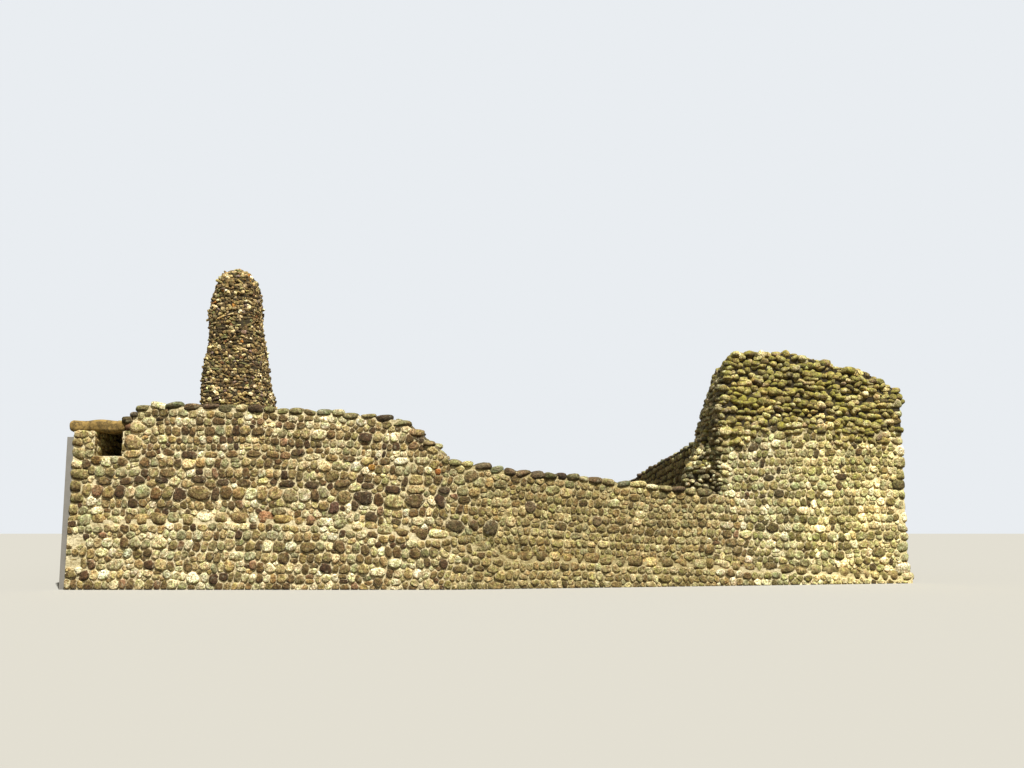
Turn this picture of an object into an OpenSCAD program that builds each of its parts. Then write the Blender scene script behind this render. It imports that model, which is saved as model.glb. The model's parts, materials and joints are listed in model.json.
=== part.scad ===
// Ruined castle keep of rounded fieldstones in lime mortar.
// Five walls stand round an open yard. The front wall bends back at its
// middle and falls in steps from a high west leg to a low east leg. A broken
// corner mass closes the east end, and a slender stub of the west wall stands
// behind the front wall. Every wall runs down through its footing to the lowest
// ground, at the east corner, because the keep stands on a falling mound.
// Each wall has a frame of its own: stations run along its outer face with the
// yard on the left, depths run inwards from that face, and heights run up.

/* [Plan] */
// Length of the front wall's west leg, from the west face to the bend
west_leg = 5890; // [5200:10:8000]
// Length of the front wall's east leg, from the bend to the east corner
east_leg = 7850; // [7200:10:10000]
// Angle by which the front wall turns back at its bend, in degrees
bend = 12; // [6:1:20]
// Distance from the front face to the back face
keep_depth = 9600; // [8600:50:13000]
// Thickness of the front wall
front_thick = 1600; // [1200:10:1900]
// Thickness of the west wall
west_thick = 1650; // [1200:10:2000]
// Thickness of the back wall
back_thick = 1600; // [1200:10:2000]
// Thickness of the east wall
east_thick = 2550; // [2000:10:3000]
// How far the footings stand out from the wall faces
footing_ledge = 50; // [20:5:120]

/* [Ground line] */
// Height of the footing's top along the west side
ground_west = 1050; // [700:10:1200]
// Swell of the footing's top under the middle of the west leg
ground_swell = 50; // [0:5:100]
// Height of the footing's top at the bend
ground_bend = 820; // [500:10:1000]
// Height of the footing's top where the corner mass begins
ground_corner_mass = 330; // [250:10:600]
// Height of the footing's top at the east corner
ground_east = 110; // [60:5:240]

/* [Corner pier and window] */
// Width of the pier at the west end of the front wall
pier_w = 325; // [250:5:500]
// Width of the window slot
window_w = 440; // [300:5:600]
// Height of the window's sill
window_sill = 2050; // [1700:10:2200]
// Height of the window opening
window_h = 390; // [250:5:450]
// Height of the lintel stones
lintel_h = 170; // [120:5:240]
// Depth of the outer lintel stone
lintel_depth = 400; // [250:10:600]
// Overhang of the outer lintel stone past the west face
lintel_overhang = 100; // [0:5:160]
// Bearing of the lintel stones on the high wall
lintel_bearing = 50; // [50:5:150]

/* [Front wall] */
// Height of the high west leg at its highest point
high_top = 2840; // [2750:10:3200]
// Length of the shoulder that rises from the window to the high top
shoulder_run = 330; // [200:10:600]
// Station on the west leg where the top begins to step down
steps_at = 5000; // [4600:10:5100]
// Height of the top where the steps begin
steps_top = 2620; // [2500:10:2700]
// Height of the low east leg at the bend
low_top = 1960; // [1700:10:2100]
// Height of the low east leg where it meets the corner mass
low_end_top = 1480; // [1200:10:1650]
// Height of the coping course on every wall top
coping_h = 120; // [80:5:180]

/* [Corner mass] */
// Length of the broken stub that leads from the low wall to the corner mass
stub_w = 850; // [600:10:1200]
// Height of the corner mass at its highest point
mass_top = 3870; // [3600:10:4300]
// Height of the corner mass at the east corner
mass_corner_top = 3260; // [2950:10:3550]
// Fall of the crown from its front to its back
crown_fall = 90; // [0:5:250]
// Height at which the rough crown sits on the coursed corner mass
crown_seat = 2600; // [2400:10:2800]
// How far the corner mass runs back along the east wall
mass_return = 2900; // [2500:10:3400]

/* [East and back walls] */
// Height of the east wall where it leaves the corner mass
east_top = 2570; // [2300:10:2800]
// Height of the east wall where it meets the back wall
east_end_top = 1880; // [1600:10:2050]
// Height of the back wall's low east half
back_low_top = 1840; // [1500:10:1900]
// Height of the back wall's high west half
back_high_top = 2350; // [2100:10:2600]
// Length of the back wall's high west half
back_high_run = 4300; // [3000:50:5500]
// Length of the rise between the back wall's halves
back_rise_run = 1900; // [1000:50:2400]

/* [West wall and pillar] */
// Height of the west wall's low stretch, level with the window's sill or lower
west_low_top = 1960; // [1600:10:2040]
// Length of the ragged shoulder between the pillar and the low stretch
west_shoulder_run = 1400; // [900:50:1900]
// Height of the west wall under the pillar
pillar_seat = 2700; // [2500:10:2900]
// Height of the pillar's top
pillar_top = 6550; // [5800:10:7200]
// Depth of the pillar along the west wall at its foot
pillar_run = 1600; // [1300:10:1900]
// Distance from the back face to the pillar's middle
pillar_from_back = 3100; // [2700:10:3400]

/* [Steel post] */
// Width of the square post beside the corner pier
post_w = 105; // [60:5:120]
// Wall thickness of the post
post_wall = 5; // [3:1:8]
// Height of the post's top
post_top = 2350; // [1900:10:2430]

/* [Hidden] */

// Directions, lines and where two lines meet
function dir(a) = [cos(a), sin(a)];
function inset(line, d) = [line[0] + d * dir(line[1] + 90), line[1]];
function turn(a, b) = a.x * b.y - a.y * b.x;
function meet(p, q) = p[0] + dir(p[1]) * turn(q[0] - p[0], dir(q[1])) / turn(dir(p[1]), dir(q[1]));

// Outer face lines of the five walls, each a start point and a direction
span = west_leg + east_leg * cos(bend);
west_corner = [-span / 2, -keep_depth / 2];
bend_point = west_corner + [west_leg, 0];
east_corner = bend_point + east_leg * dir(bend);
back_west_corner = [-span / 2, keep_depth / 2];
front_west = [west_corner, 0];
front_east = [bend_point, bend];
east = [east_corner, 90 + bend];
back = [meet(east, [back_west_corner, 180]), 180];
west = [back_west_corner, 270];

// Plan of each wall, with g as the ledge on both of its faces
function front_west_plan(g) = [
    meet(inset(west, -g), inset(front_west, -g)), meet(inset(front_west, -g), inset(front_east, -g)),
    meet(inset(front_west, front_thick + g), inset(front_east, front_thick + g)),
    meet(inset(west, -g), inset(front_west, front_thick + g))
];
function front_east_plan(g) = [
    meet(inset(front_west, -g), inset(front_east, -g)), meet(inset(front_east, -g), inset(east, -g)),
    meet(inset(front_east, front_thick + g), inset(east, -g)),
    meet(inset(front_west, front_thick + g), inset(front_east, front_thick + g))
];
function east_plan(g) = [
    meet(inset(front_east, front_thick + g), inset(east, east_thick + g)),
    meet(inset(front_east, front_thick + g), inset(east, -g)),
    meet(inset(east, -g), inset(back, -g)), meet(inset(east, east_thick + g), inset(back, -g))
];
function back_plan(g) = [
    meet(inset(west, -g), inset(back, back_thick + g)),
    meet(inset(east, east_thick + g), inset(back, back_thick + g)),
    meet(inset(east, east_thick + g), inset(back, -g)), meet(inset(west, -g), inset(back, -g))
];
function west_plan(g) = [
    meet(inset(west, -g), inset(front_west, front_thick + g)),
    meet(inset(west, west_thick + g), inset(front_west, front_thick + g)),
    meet(inset(west, west_thick + g), inset(back, back_thick + g)),
    meet(inset(west, -g), inset(back, back_thick + g))
];

// Stations at which stretches of wall meet
far = 2000;
window_end = pier_w + window_w;
lintel_end = window_end + lintel_bearing;
mass_at = east_leg - east_thick;
// Station on the east leg where the broken stub begins
stub_at = mass_at - stub_w;
east_length = norm(back[0] - east_corner);
back_length = norm(back[0] - back_west_corner);
back_high_at = back_length - back_high_run;
back_rise_at = back_high_at - back_rise_run;
pillar_start = pillar_from_back - pillar_run / 2;
pillar_end = pillar_from_back + pillar_run / 2;
shoulder_end = pillar_end + west_shoulder_run;
low_half = stub_at / 2;
east_half = (mass_return + east_length) / 2;

// Lines of height against station, each one from end to end of its wall
bottom = [[-far, 0], [west_leg + east_leg + far, 0]];
ground_front_west = [
    [-far, ground_west], [0, ground_west], [0.45 * west_leg, ground_west + ground_swell],
    [0.7 * west_leg, 0.87 * ground_west + 0.13 * ground_bend],
    [0.86 * west_leg, 0.26 * ground_west + 0.74 * ground_bend], [west_leg, ground_bend],
    [west_leg + far, ground_bend]
];
ground_front_east = [
    [-far, ground_bend], [0, ground_bend], [0.18 * stub_at, 0.4 * ground_bend + 0.6 * ground_corner_mass],
    [stub_at, ground_corner_mass], [east_leg, ground_east], [east_leg + far, ground_east]
];
ground_east_side = [[-far, ground_east], [east_length + far, ground_east]];
ground_back = [[-far, ground_east], [back_length, ground_west], [back_length + far, ground_west]];
ground_west_side = [[-far, ground_west], [keep_depth + far, ground_west]];

window_head = window_sill + window_h;
lintel_top = window_head + lintel_h;
high_coping_at = lintel_end + 0.5 * shoulder_run;
high_fall = high_top - steps_top;
high_line = [
    [window_end, window_head], [lintel_end, window_head],
    [lintel_end + 0.02 * shoulder_run, window_head + 0.65 * lintel_h],
    [high_coping_at, high_top - 0.45 * high_fall], [lintel_end + shoulder_run, high_top],
    [0.45 * steps_at + 0.55 * window_end, high_top - 0.18 * high_fall],
    [0.83 * steps_at, high_top - 0.55 * high_fall], [steps_at, steps_top]
];
steps_line = [
    [steps_at, steps_top], [0.88 * steps_at + 0.12 * west_leg, 0.99 * steps_top + 0.01 * low_top],
    [0.62 * steps_at + 0.38 * west_leg, 0.72 * steps_top + 0.28 * low_top],
    [0.35 * steps_at + 0.65 * west_leg, 0.42 * steps_top + 0.58 * low_top],
    [0.13 * steps_at + 0.87 * west_leg, 0.17 * steps_top + 0.83 * low_top], [west_leg, low_top]
];
low_line = [
    [0, low_top], [0.18 * stub_at, 0.75 * low_top + 0.25 * low_end_top],
    [0.54 * stub_at, 0.42 * low_top + 0.58 * low_end_top], [stub_at, low_end_top]
];

// The broken stub: rings of its torn end, each as [share of the stub's height, then where the torn edge
// stands at each depth, as shares of the stub's width from the end of the low wall]
stub_h = mass_top - low_end_top;
stub_depths = [0, 0.08, 0.31, 0.66, 1];
stub_seat = (crown_seat - low_end_top) / stub_h;
stub_rings = [
    [-0.03, 0.05, 0.04, -0.46, -0.22, 0.05], [0.07, 0.06, 0.05, -0.44, -0.17, 0.10],
    [0.18, 0.07, 0.06, -0.36, -0.06, 0.21], [0.30, 0.08, 0.07, -0.15, 0.06, 0.33],
    [stub_seat, 0.09, 0.08, 0.06, 0.18, 0.46], [0.58, 0.10, 0.10, 0.13, 0.26, 0.54],
    [0.72, 0.14, 0.15, 0.21, 0.40, 0.68], [0.84, 0.24, 0.25, 0.33, 0.50, 0.78],
    [0.92, 0.34, 0.35, 0.49, 0.64, 0.88], [0.985, 0.45, 0.46, 0.62, 0.82, 0.97]
];
body_rings = [for (r = stub_rings) if (r[0] <= stub_seat) r];
head_rings = [for (r = stub_rings) if (r[0] >= stub_seat) r];

mass_fall = mass_top - mass_corner_top;
mass_line = [
    [mass_at, mass_top - 0.05 * mass_fall], [mass_at + 0.18 * east_thick, mass_top],
    [mass_at + 0.35 * east_thick, mass_top - 0.15 * mass_fall],
    [mass_at + 0.57 * east_thick, mass_top - 0.38 * mass_fall],
    [mass_at + 0.73 * east_thick, mass_top - 0.43 * mass_fall], [east_leg, mass_corner_top]
];
crown_back_top = mass_top - crown_fall;
crown_depth_line = [[0, mass_top], [0.3 * front_thick, mass_top], [front_thick, crown_back_top]];
return_run = mass_return - front_thick;
return_drop = crown_back_top - east_top;
return_line = [
    [front_thick, crown_back_top], [front_thick + 0.4 * return_run, crown_back_top - 0.2 * return_drop],
    [front_thick + 0.65 * return_run, crown_back_top - 0.4 * return_drop],
    [front_thick + 0.81 * return_run, crown_back_top - 0.71 * return_drop], [mass_return, east_top]
];
east_run = east_length - mass_return;
east_drop = east_top - east_end_top;
east_line = [
    [mass_return, east_top], [mass_return + 0.17 * east_run, east_top - 0.17 * east_drop],
    [mass_return + 0.52 * east_run, east_top - 0.56 * east_drop],
    [mass_return + 0.76 * east_run, east_top - 0.88 * east_drop], [east_length, east_end_top],
    [east_length + far, east_end_top]
];
back_line = [
    [0, back_low_top], [back_rise_at, 0.88 * back_low_top + 0.12 * back_high_top],
    [back_rise_at + 0.6 * back_rise_run, 0.5 * back_low_top + 0.5 * back_high_top],
    [back_high_at, back_high_top], [back_length, 0.12 * back_low_top + 0.88 * back_high_top]
];
west_line = [
    [0, 0.12 * back_low_top + 0.88 * back_high_top],
    [back_thick, 0.12 * back_low_top + 0.88 * back_high_top], [pillar_start, pillar_seat],
    [pillar_end, pillar_seat], [pillar_end + 0.2 * west_shoulder_run, 0.6 * pillar_seat + 0.4 * west_low_top],
    [pillar_end + 0.57 * west_shoulder_run, 0.25 * pillar_seat + 0.75 * west_low_top],
    [shoulder_end, west_low_top], [keep_depth, west_low_top]
];

// The stretch of a line from station a to station b, and a line moved up or down
function part_of(line, a, b) = concat(
    [[a, lookup(a, line)]], [for (p = line) if (p[0] > a && p[0] < b) p], [[b, lookup(b, line)]]
);
function raised(line, dz) = [for (p = line) [p[0], p[1] + dz]];
function backwards(list) = [for (i = [len(list) - 1 : -1 : 0]) list[i]];

// A body of masonry under one wall's plan, between two lines, from station a to b
module masonry(wall, plan, low, high, a, b) {
    intersection() {
        linear_extrude(height = 2 * mass_top) polygon(plan);
        along(wall) between_lines(low, high, a, b, -far, 3 * far);
    }
}
module along(wall) translate(wall[0]) rotate([0, 0, wall[1]]) children();
module between_lines(low, high, a, b, depth_from, depth) {
    translate([0, depth_from + depth, 0]) rotate([90, 0, 0]) linear_extrude(height = depth)
        polygon(concat(part_of(low, a, b), backwards(part_of(high, a, b))));
}
// A body of level rings of points, one over the other, each one anticlockwise
module stack(rings) {
    n = len(rings[0]);
    top = (len(rings) - 1) * n;
    sides = [for (k = [0 : len(rings) - 2], i = [0 : n - 1]) let(a = k * n + i, b = k * n + (i + 1) % n)
        each [[a, a + n, b], [b, a + n, b + n]]];
    polyhedron(points = [for (ring = rings) each ring], faces = concat(
        [[for (i = [0 : n - 1]) i]], sides, [[for (i = [n - 1 : -1 : 0]) top + i]]));
}

// Footings, the first with its corner cut away for the steel post
module footing_front_west() color("#8a7c66") difference() {
    masonry(front_west, front_west_plan(footing_ledge), bottom, ground_front_west, -far, west_leg + far);
    along(front_west) translate([-far, -far, -far]) cube([far, far + post_w, 2 * far]);
}
module footing_front_east() color("#8a7c66")
    masonry(front_east, front_east_plan(footing_ledge), bottom, ground_front_east, -far, east_leg + far);
module footing_east() color("#8a7c66")
    masonry(east, east_plan(footing_ledge), bottom, ground_east_side, -far, east_length + far);
module footing_back() color("#8a7c66")
    masonry(back, back_plan(footing_ledge), bottom, ground_back, -far, back_length + far);
module footing_west() color("#8a7c66")
    masonry(west, west_plan(footing_ledge), bottom, ground_west_side, 0, keep_depth);

// Front wall, west leg
module front_west_body(low, high, a, b) masonry(front_west, front_west_plan(0), low, high, a, b);
module corner_pier() color("#8f7f68")
    front_west_body(ground_front_west, [[0, window_head], [pier_w, window_head]], 0, pier_w);
module window_breast() color("#9a8a70")
    front_west_body(ground_front_west, [[pier_w, window_sill], [window_end, window_sill]], pier_w, window_end);
module window_lintel_outer() color("#a8884c") along(front_west)
    translate([-lintel_overhang, lintel_depth, 0]) rotate([90, 0, 0]) linear_extrude(height = lintel_depth)
        lintel_outline(lintel_overhang + lintel_end);
module lintel_outline(length) {
    edge = 0.25 * lintel_h;
    polygon([
        [edge, window_head], [length, window_head], [length, lintel_top - edge], [length - edge, lintel_top],
        [edge, lintel_top], [0, lintel_top - edge], [0, window_head + edge]
    ]);
}
module window_lintel_inner() color("#8d7c63") along(front_west)
    translate([0, lintel_depth, window_head]) cube([lintel_end, front_thick - lintel_depth, lintel_h]);
module front_wall_high() color("#9c8d72") difference() {
    front_west_body(ground_front_west, high_line, window_end, steps_at);
    along(front_west) between_lines(
        raised(high_line, -coping_h), raised(high_line, far), high_coping_at, steps_at + far, -far, 3 * far);
}
module front_coping_high() color("#6b5646")
    front_west_body(raised(high_line, -coping_h), high_line, high_coping_at, steps_at);
module front_wall_steps() color("#95866c")
    front_west_body(ground_front_west, raised(steps_line, -coping_h), steps_at, west_leg);
module front_coping_steps() color("#6b5646")
    front_west_body(raised(steps_line, -coping_h), steps_line, steps_at, west_leg);

// Front wall, east leg
module front_east_body(low, high, a, b) masonry(front_east, front_east_plan(0), low, high, a, b);
module front_wall_low_west() color("#8b7d66")
    front_east_body(ground_front_east, raised(low_line, -coping_h), 0, low_half);
module front_wall_low_east() color("#867962")
    front_east_body(ground_front_east, raised(low_line, -coping_h), low_half, stub_at);
module front_coping_low() color("#66564a")
    front_east_body(raised(low_line, -coping_h), low_line, 0, stub_at);

// Broken stub of the front wall beside the corner mass, its body lying over the end of the low wall
function stub_ring(ring) = let(z = low_end_top + ring[0] * stub_h) concat(
    [[mass_at, 0, z], [mass_at, front_thick, z]],
    [for (k = [len(stub_depths) - 1 : -1 : 0]) [stub_at + ring[k + 1] * stub_w, stub_depths[k] * front_thick, z]]
);
module stub_foot() color("#9a8f7a")
    front_east_body(ground_front_east, [[stub_at, low_end_top], [mass_at, low_end_top]], stub_at, mass_at);
module stub_body() color("#8d836b") along(front_east) intersection() {
    stack([for (ring = body_rings) stub_ring(ring)]);
    between_lines(low_line, raised(low_line, far), 0, mass_at + far, -far, 3 * far);
}
module stub_head() color("#7d7654") along(front_east) stack([for (ring = head_rings) stub_ring(ring)]);

// Corner mass, its rough crown and its return along the east wall
module corner_mass() color("#a39780")
    front_east_body(ground_front_east, [[mass_at, crown_seat], [east_leg, crown_seat]], mass_at, east_leg);
module corner_crown() color("#7d7654") intersection() {
    front_east_body([[mass_at, crown_seat], [east_leg, crown_seat]], mass_line, mass_at, east_leg);
    along(east) between_lines(bottom, crown_depth_line, 0, front_thick, -far, east_thick + 2 * far);
}
module corner_return() color("#7a7058") intersection() {
    masonry(east, east_plan(0), ground_east_side, return_line, front_thick, mass_return);
    along(front_east) between_lines(bottom, mass_line, mass_at, east_leg, 0, mass_return + far);
}

// East wall
module east_body(low, high, a, b) masonry(east, east_plan(0), low, high, a, b);
module east_wall_near() color("#7c715c")
    east_body(ground_east_side, raised(east_line, -coping_h), mass_return, east_half);
module east_wall_far() color("#786d59")
    east_body(ground_east_side, raised(east_line, -coping_h), east_half, east_length + far);
module east_coping() color("#54493c")
    east_body(raised(east_line, -coping_h), east_line, mass_return, east_length + far);

// Back wall
module back_body(low, high, a, b) masonry(back, back_plan(0), low, high, a, b);
module back_wall_east() color("#8b7d66") back_body(ground_back, raised(back_line, -coping_h), 0, back_rise_at);
module back_wall_rise() color("#8f8169")
    back_body(ground_back, raised(back_line, -coping_h), back_rise_at, back_high_at);
module back_wall_west() color("#94866d")
    back_body(ground_back, raised(back_line, -coping_h), back_high_at, back_length);
module back_coping_east() color("#66564a") back_body(raised(back_line, -coping_h), back_line, 0, back_rise_at);
module back_coping_rise() color("#66564a")
    back_body(raised(back_line, -coping_h), back_line, back_rise_at, back_high_at);
module back_coping_west() color("#66564a")
    back_body(raised(back_line, -coping_h), back_line, back_high_at, back_length);

// West wall
west_front_end = keep_depth - front_thick;
module west_body(low, high, a, b) masonry(west, west_plan(0), low, high, a, b);
module west_wall_back() color("#94866d")
    west_body(ground_west_side, raised(west_line, -coping_h), back_thick, pillar_start);
module west_wall_pillar() color("#8f8169") west_body(ground_west_side, west_line, pillar_start, pillar_end);
module west_wall_shoulder() color("#8b7d66") west_body(ground_west_side, west_line, pillar_end, shoulder_end);
module west_wall_low() color("#8b7d66")
    west_body(ground_west_side, raised(west_line, -coping_h), shoulder_end, west_front_end);
module west_coping_back() color("#66564a")
    west_body(raised(west_line, -coping_h), west_line, back_thick, pillar_start);
module west_coping_low() color("#66564a")
    west_body(raised(west_line, -coping_h), west_line, shoulder_end, west_front_end);

// Pillar: rings of an uneven rounded block, each as [share of the height, share of the wall's
// thickness left off at the outer face and at the inner face, share of the run left off at each end]
pillar_h = pillar_top - pillar_seat;
pillar_rings = [
    [0.00, 0.04, 0.02, 0.01, 0.01], [0.25, 0.06, 0.07, 0.04, 0.04], [0.32, 0.05, 0.12, 0.06, 0.05],
    [0.45, 0.07, 0.17, 0.08, 0.08], [0.56, 0.12, 0.21, 0.10, 0.11], [0.68, 0.12, 0.26, 0.13, 0.12],
    [0.75, 0.10, 0.27, 0.14, 0.14], [0.86, 0.16, 0.29, 0.17, 0.16], [0.94, 0.21, 0.33, 0.20, 0.19],
    [0.98, 0.27, 0.41, 0.27, 0.25], [1.00, 0.35, 0.51, 0.37, 0.34]
];
ring_sides = 20;
// A point of a rounded block's outline at angle a, its half sizes being 1
function rounded(a) = let(c = cos(a), s = sin(a), r = pow(pow(abs(c), 4) + pow(abs(s), 4), -0.25)) [r * c, r * s];
function ring_points(ring) = let(
    outer = ring[1] * west_thick, inner = west_thick * (1 - ring[2]),
    start = pillar_start + ring[3] * pillar_run, end = pillar_end - ring[4] * pillar_run
) [for (i = [0 : ring_sides - 1]) let(p = rounded(360 * (i + 0.5) / ring_sides))
    [(start + end) / 2 + p.x * (end - start) / 2, (outer + inner) / 2 + p.y * (inner - outer) / 2,
     pillar_seat + ring[0] * pillar_h]];
module pillar_part(first, last) along(west) stack([for (k = [first : last]) ring_points(pillar_rings[k])]);
module pillar_foot() color("#6f6452") pillar_part(0, 3);
module pillar_shaft() color("#6a604f") pillar_part(3, 7);
module pillar_head() color("#655b4b") pillar_part(7, len(pillar_rings) - 1);

// Steel post against the west face of the corner pier
module steel_post() color("#a9adaf") along(front_west) translate([-post_w, 0, 0]) difference() {
    cube([post_w, post_w, post_top]);
    translate([post_wall, post_wall, -1])
        cube([post_w - 2 * post_wall, post_w - 2 * post_wall, post_top - post_wall + 1]);
}

footing_front_west();
footing_front_east();
footing_east();
footing_back();
footing_west();
corner_pier();
window_breast();
window_lintel_outer();
window_lintel_inner();
front_wall_high();
front_wall_steps();
front_wall_low_west();
front_wall_low_east();
front_coping_high();
front_coping_steps();
front_coping_low();
stub_foot();
stub_body();
stub_head();
corner_mass();
corner_crown();
corner_return();
east_wall_near();
east_wall_far();
east_coping();
back_wall_east();
back_wall_rise();
back_wall_west();
back_coping_east();
back_coping_rise();
back_coping_west();
west_wall_back();
west_wall_pillar();
west_wall_shoulder();
west_wall_low();
west_coping_back();
west_coping_low();
pillar_foot();
pillar_shaft();
pillar_head();
steel_post();
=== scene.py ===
"""Ruined castle keep: rounded fieldstones laid on the masonry solids, and a studio stage.

The solids carry the lime mortar. Every stone is a mesh of its own shape, laid in courses on
their faces, over their tops and along their edges, and joined with its neighbours into pieces.
"""
import json
import math

import bpy
import numpy as np
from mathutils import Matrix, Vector
from mathutils.bvhtree import BVHTree

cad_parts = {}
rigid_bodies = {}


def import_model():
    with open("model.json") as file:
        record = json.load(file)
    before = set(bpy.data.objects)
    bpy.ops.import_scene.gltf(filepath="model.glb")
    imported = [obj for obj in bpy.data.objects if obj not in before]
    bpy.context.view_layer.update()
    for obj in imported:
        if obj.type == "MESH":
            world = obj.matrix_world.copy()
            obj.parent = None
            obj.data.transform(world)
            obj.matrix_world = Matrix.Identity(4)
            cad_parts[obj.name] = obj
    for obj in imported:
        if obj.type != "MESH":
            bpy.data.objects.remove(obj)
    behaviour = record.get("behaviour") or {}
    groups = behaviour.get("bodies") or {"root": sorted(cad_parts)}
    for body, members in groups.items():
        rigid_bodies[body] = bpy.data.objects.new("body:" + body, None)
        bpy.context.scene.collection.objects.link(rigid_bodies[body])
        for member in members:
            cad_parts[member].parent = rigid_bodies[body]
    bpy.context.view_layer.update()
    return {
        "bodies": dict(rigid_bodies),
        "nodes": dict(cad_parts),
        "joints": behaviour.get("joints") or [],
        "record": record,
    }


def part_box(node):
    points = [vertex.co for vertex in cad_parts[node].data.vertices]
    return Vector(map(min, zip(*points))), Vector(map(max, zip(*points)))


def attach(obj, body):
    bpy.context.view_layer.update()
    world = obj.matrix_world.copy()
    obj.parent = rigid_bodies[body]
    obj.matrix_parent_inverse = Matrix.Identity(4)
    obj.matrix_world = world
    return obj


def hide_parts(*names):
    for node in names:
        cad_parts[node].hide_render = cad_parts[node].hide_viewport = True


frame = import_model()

bl_info = {
    "name": "Fieldstone Keep",
    "version": (1, 0, 0),
    "blender": (4, 5, 0),
    "location": "3D View > Sidebar > Keep",
    "description": "Lays fieldstones, rubble and mortar on the solids of a ruined castle keep",
    "category": "Object",
}

SEED = 1371  # each step adds a number of its own, so that it leaves the other steps' stones alone


def linear(code, alpha=1.0):
    """An sRGB hex code as a linear colour."""
    parts = [int(code[i:i + 2], 16) / 255.0 for i in (1, 3, 5)]
    bent = [p / 12.92 if p <= 0.04045 else ((p + 0.055) / 1.055) ** 2.4 for p in parts]
    return (*bent, alpha)


# Stone kinds as (hex colour, share) pairs: glacial cobbles picked from fields and rivers
SUNNY_STONES = [
    ("#6a5738", 0.13), ("#82724d", 0.15), ("#a4946c", 0.16), ("#979270", 0.11), ("#c6bb95", 0.16),
    ("#d2cbad", 0.12), ("#dcd6be", 0.03), ("#4f3c26", 0.08), ("#84694e", 0.03), ("#a69162", 0.04),
]
LEVELLING_STONES = [("#5a4830", 0.4), ("#6d5b3c", 0.35), ("#4c3e2a", 0.25)]
DULL_STONES = [
    ("#84754d", 0.21), ("#91845a", 0.27), ("#a2956c", 0.23), ("#8f8863", 0.13), ("#b3a882", 0.09),
    ("#6b5c39", 0.07),
]
PALE_STONES = [
    ("#8c8659", 0.16), ("#a29b70", 0.21), ("#b9b28e", 0.20), ("#989673", 0.13), ("#d0caac", 0.13),
    ("#6b623c", 0.12), ("#4c4026", 0.05),
]
COPING_STONES = [
    ("#5a4c36", 0.17), ("#6a5c43", 0.20), ("#767050", 0.21), ("#5e4d3c", 0.07), ("#8b8460", 0.16),
    ("#a9a17e", 0.09), ("#6c6d58", 0.07), ("#c4bc9c", 0.03),
]
TOP_STONES = [
    ("#6c6049", 0.24), ("#7a735a", 0.26), ("#8b8466", 0.22), ("#5b4e3e", 0.16), ("#9b9478", 0.12),
]
MOSSY_STONES = [
    ("#8c8254", 0.22), ("#a29662", 0.22), ("#b5ab7c", 0.19), ("#6a613e", 0.13), ("#c8be97", 0.14),
    ("#8f7f66", 0.10),
]
TORN_STONES = [
    ("#8f8a6c", 0.24), ("#aea88b", 0.24), ("#6d6850", 0.18), ("#cdc7ab", 0.17), ("#55503c", 0.12),
    ("#8d7c58", 0.05),
]
SMALL_STONES = [
    ("#685739", 0.16), ("#82704c", 0.21), ("#9a895f", 0.20), ("#bcab84", 0.15), ("#4a3d29", 0.12),
    ("#dccfae", 0.06), ("#74744e", 0.05), ("#83706a", 0.03), ("#7d5c40", 0.02), ("#a4763a", 0.01),
]
# Stones of the front wall that stand out: (station, height, width, own height, lean in degrees, colour)
STRIKING_STONES = [
    (0.37, 1.99, 0.20, 0.14, 0, "#7d6438"), (0.94, 2.27, 0.27, 0.23, 0, "#a8946e"),
    (0.99, 2.50, 0.31, 0.17, 4, "#b8a881"), (1.06, 1.69, 0.31, 0.12, 0, "#54442f"),
    (1.40, 1.69, 0.27, 0.12, 0, "#4d3e2c"), (1.97, 1.69, 0.31, 0.12, 2, "#5b4a33"),
    (1.50, 2.11, 0.31, 0.10, 0, "#6b5538"), (3.51, 2.10, 0.24, 0.10, 0, "#57452f"),
    (4.68, 1.88, 0.13, 0.12, 0, "#a87c40"), (5.70, 1.80, 0.09, 0.13, 10, "#9a5f2c"),
    (4.24, 1.63, 0.38, 0.14, -3, "#6d5a3c"), (4.62, 1.60, 0.34, 0.11, -2, "#57462f"),
    (5.81, 1.52, 0.24, 0.11, 0, "#4f412f"), (4.08, 1.24, 0.17, 0.24, 30, "#5c4639"),
    (3.93, 1.49, 0.17, 0.20, -20, "#a09a80"), (4.67, 1.09, 0.20, 0.23, 0, "#53452f"),
    (4.42, 1.29, 0.13, 0.18, 8, "#5c4b34"), (3.21, 1.18, 0.42, 0.17, 0, "#8f8768"),
    (5.98, 0.95, 0.36, 0.22, 8, "#5b5138"), (6.53, 0.95, 0.25, 0.24, 0, "#5f553c"),
    (6.27, 0.98, 0.16, 0.18, 0, "#6a593f"), (7.17, 1.26, 0.18, 0.21, -10, "#5d4e39"),
    (6.22, 1.73, 0.26, 0.17, -5, "#7f7353"), (8.26, 1.03, 0.17, 0.19, 0, "#6c5d43"),
    (9.43, 1.24, 0.21, 0.13, 0, "#b6aa83"),
]


def length(name, description, default, least, most):
    """A length in metres that a user can change."""
    return bpy.props.FloatProperty(
        name=name, description=description, default=default, min=least, max=most, unit="LENGTH")


def tone(name, description, code):
    """A colour that a user can change, given as an sRGB hex code."""
    return bpy.props.FloatVectorProperty(
        name=name, description=description, subtype="COLOR", size=4, min=0.0, max=1.0, default=linear(code))


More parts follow.
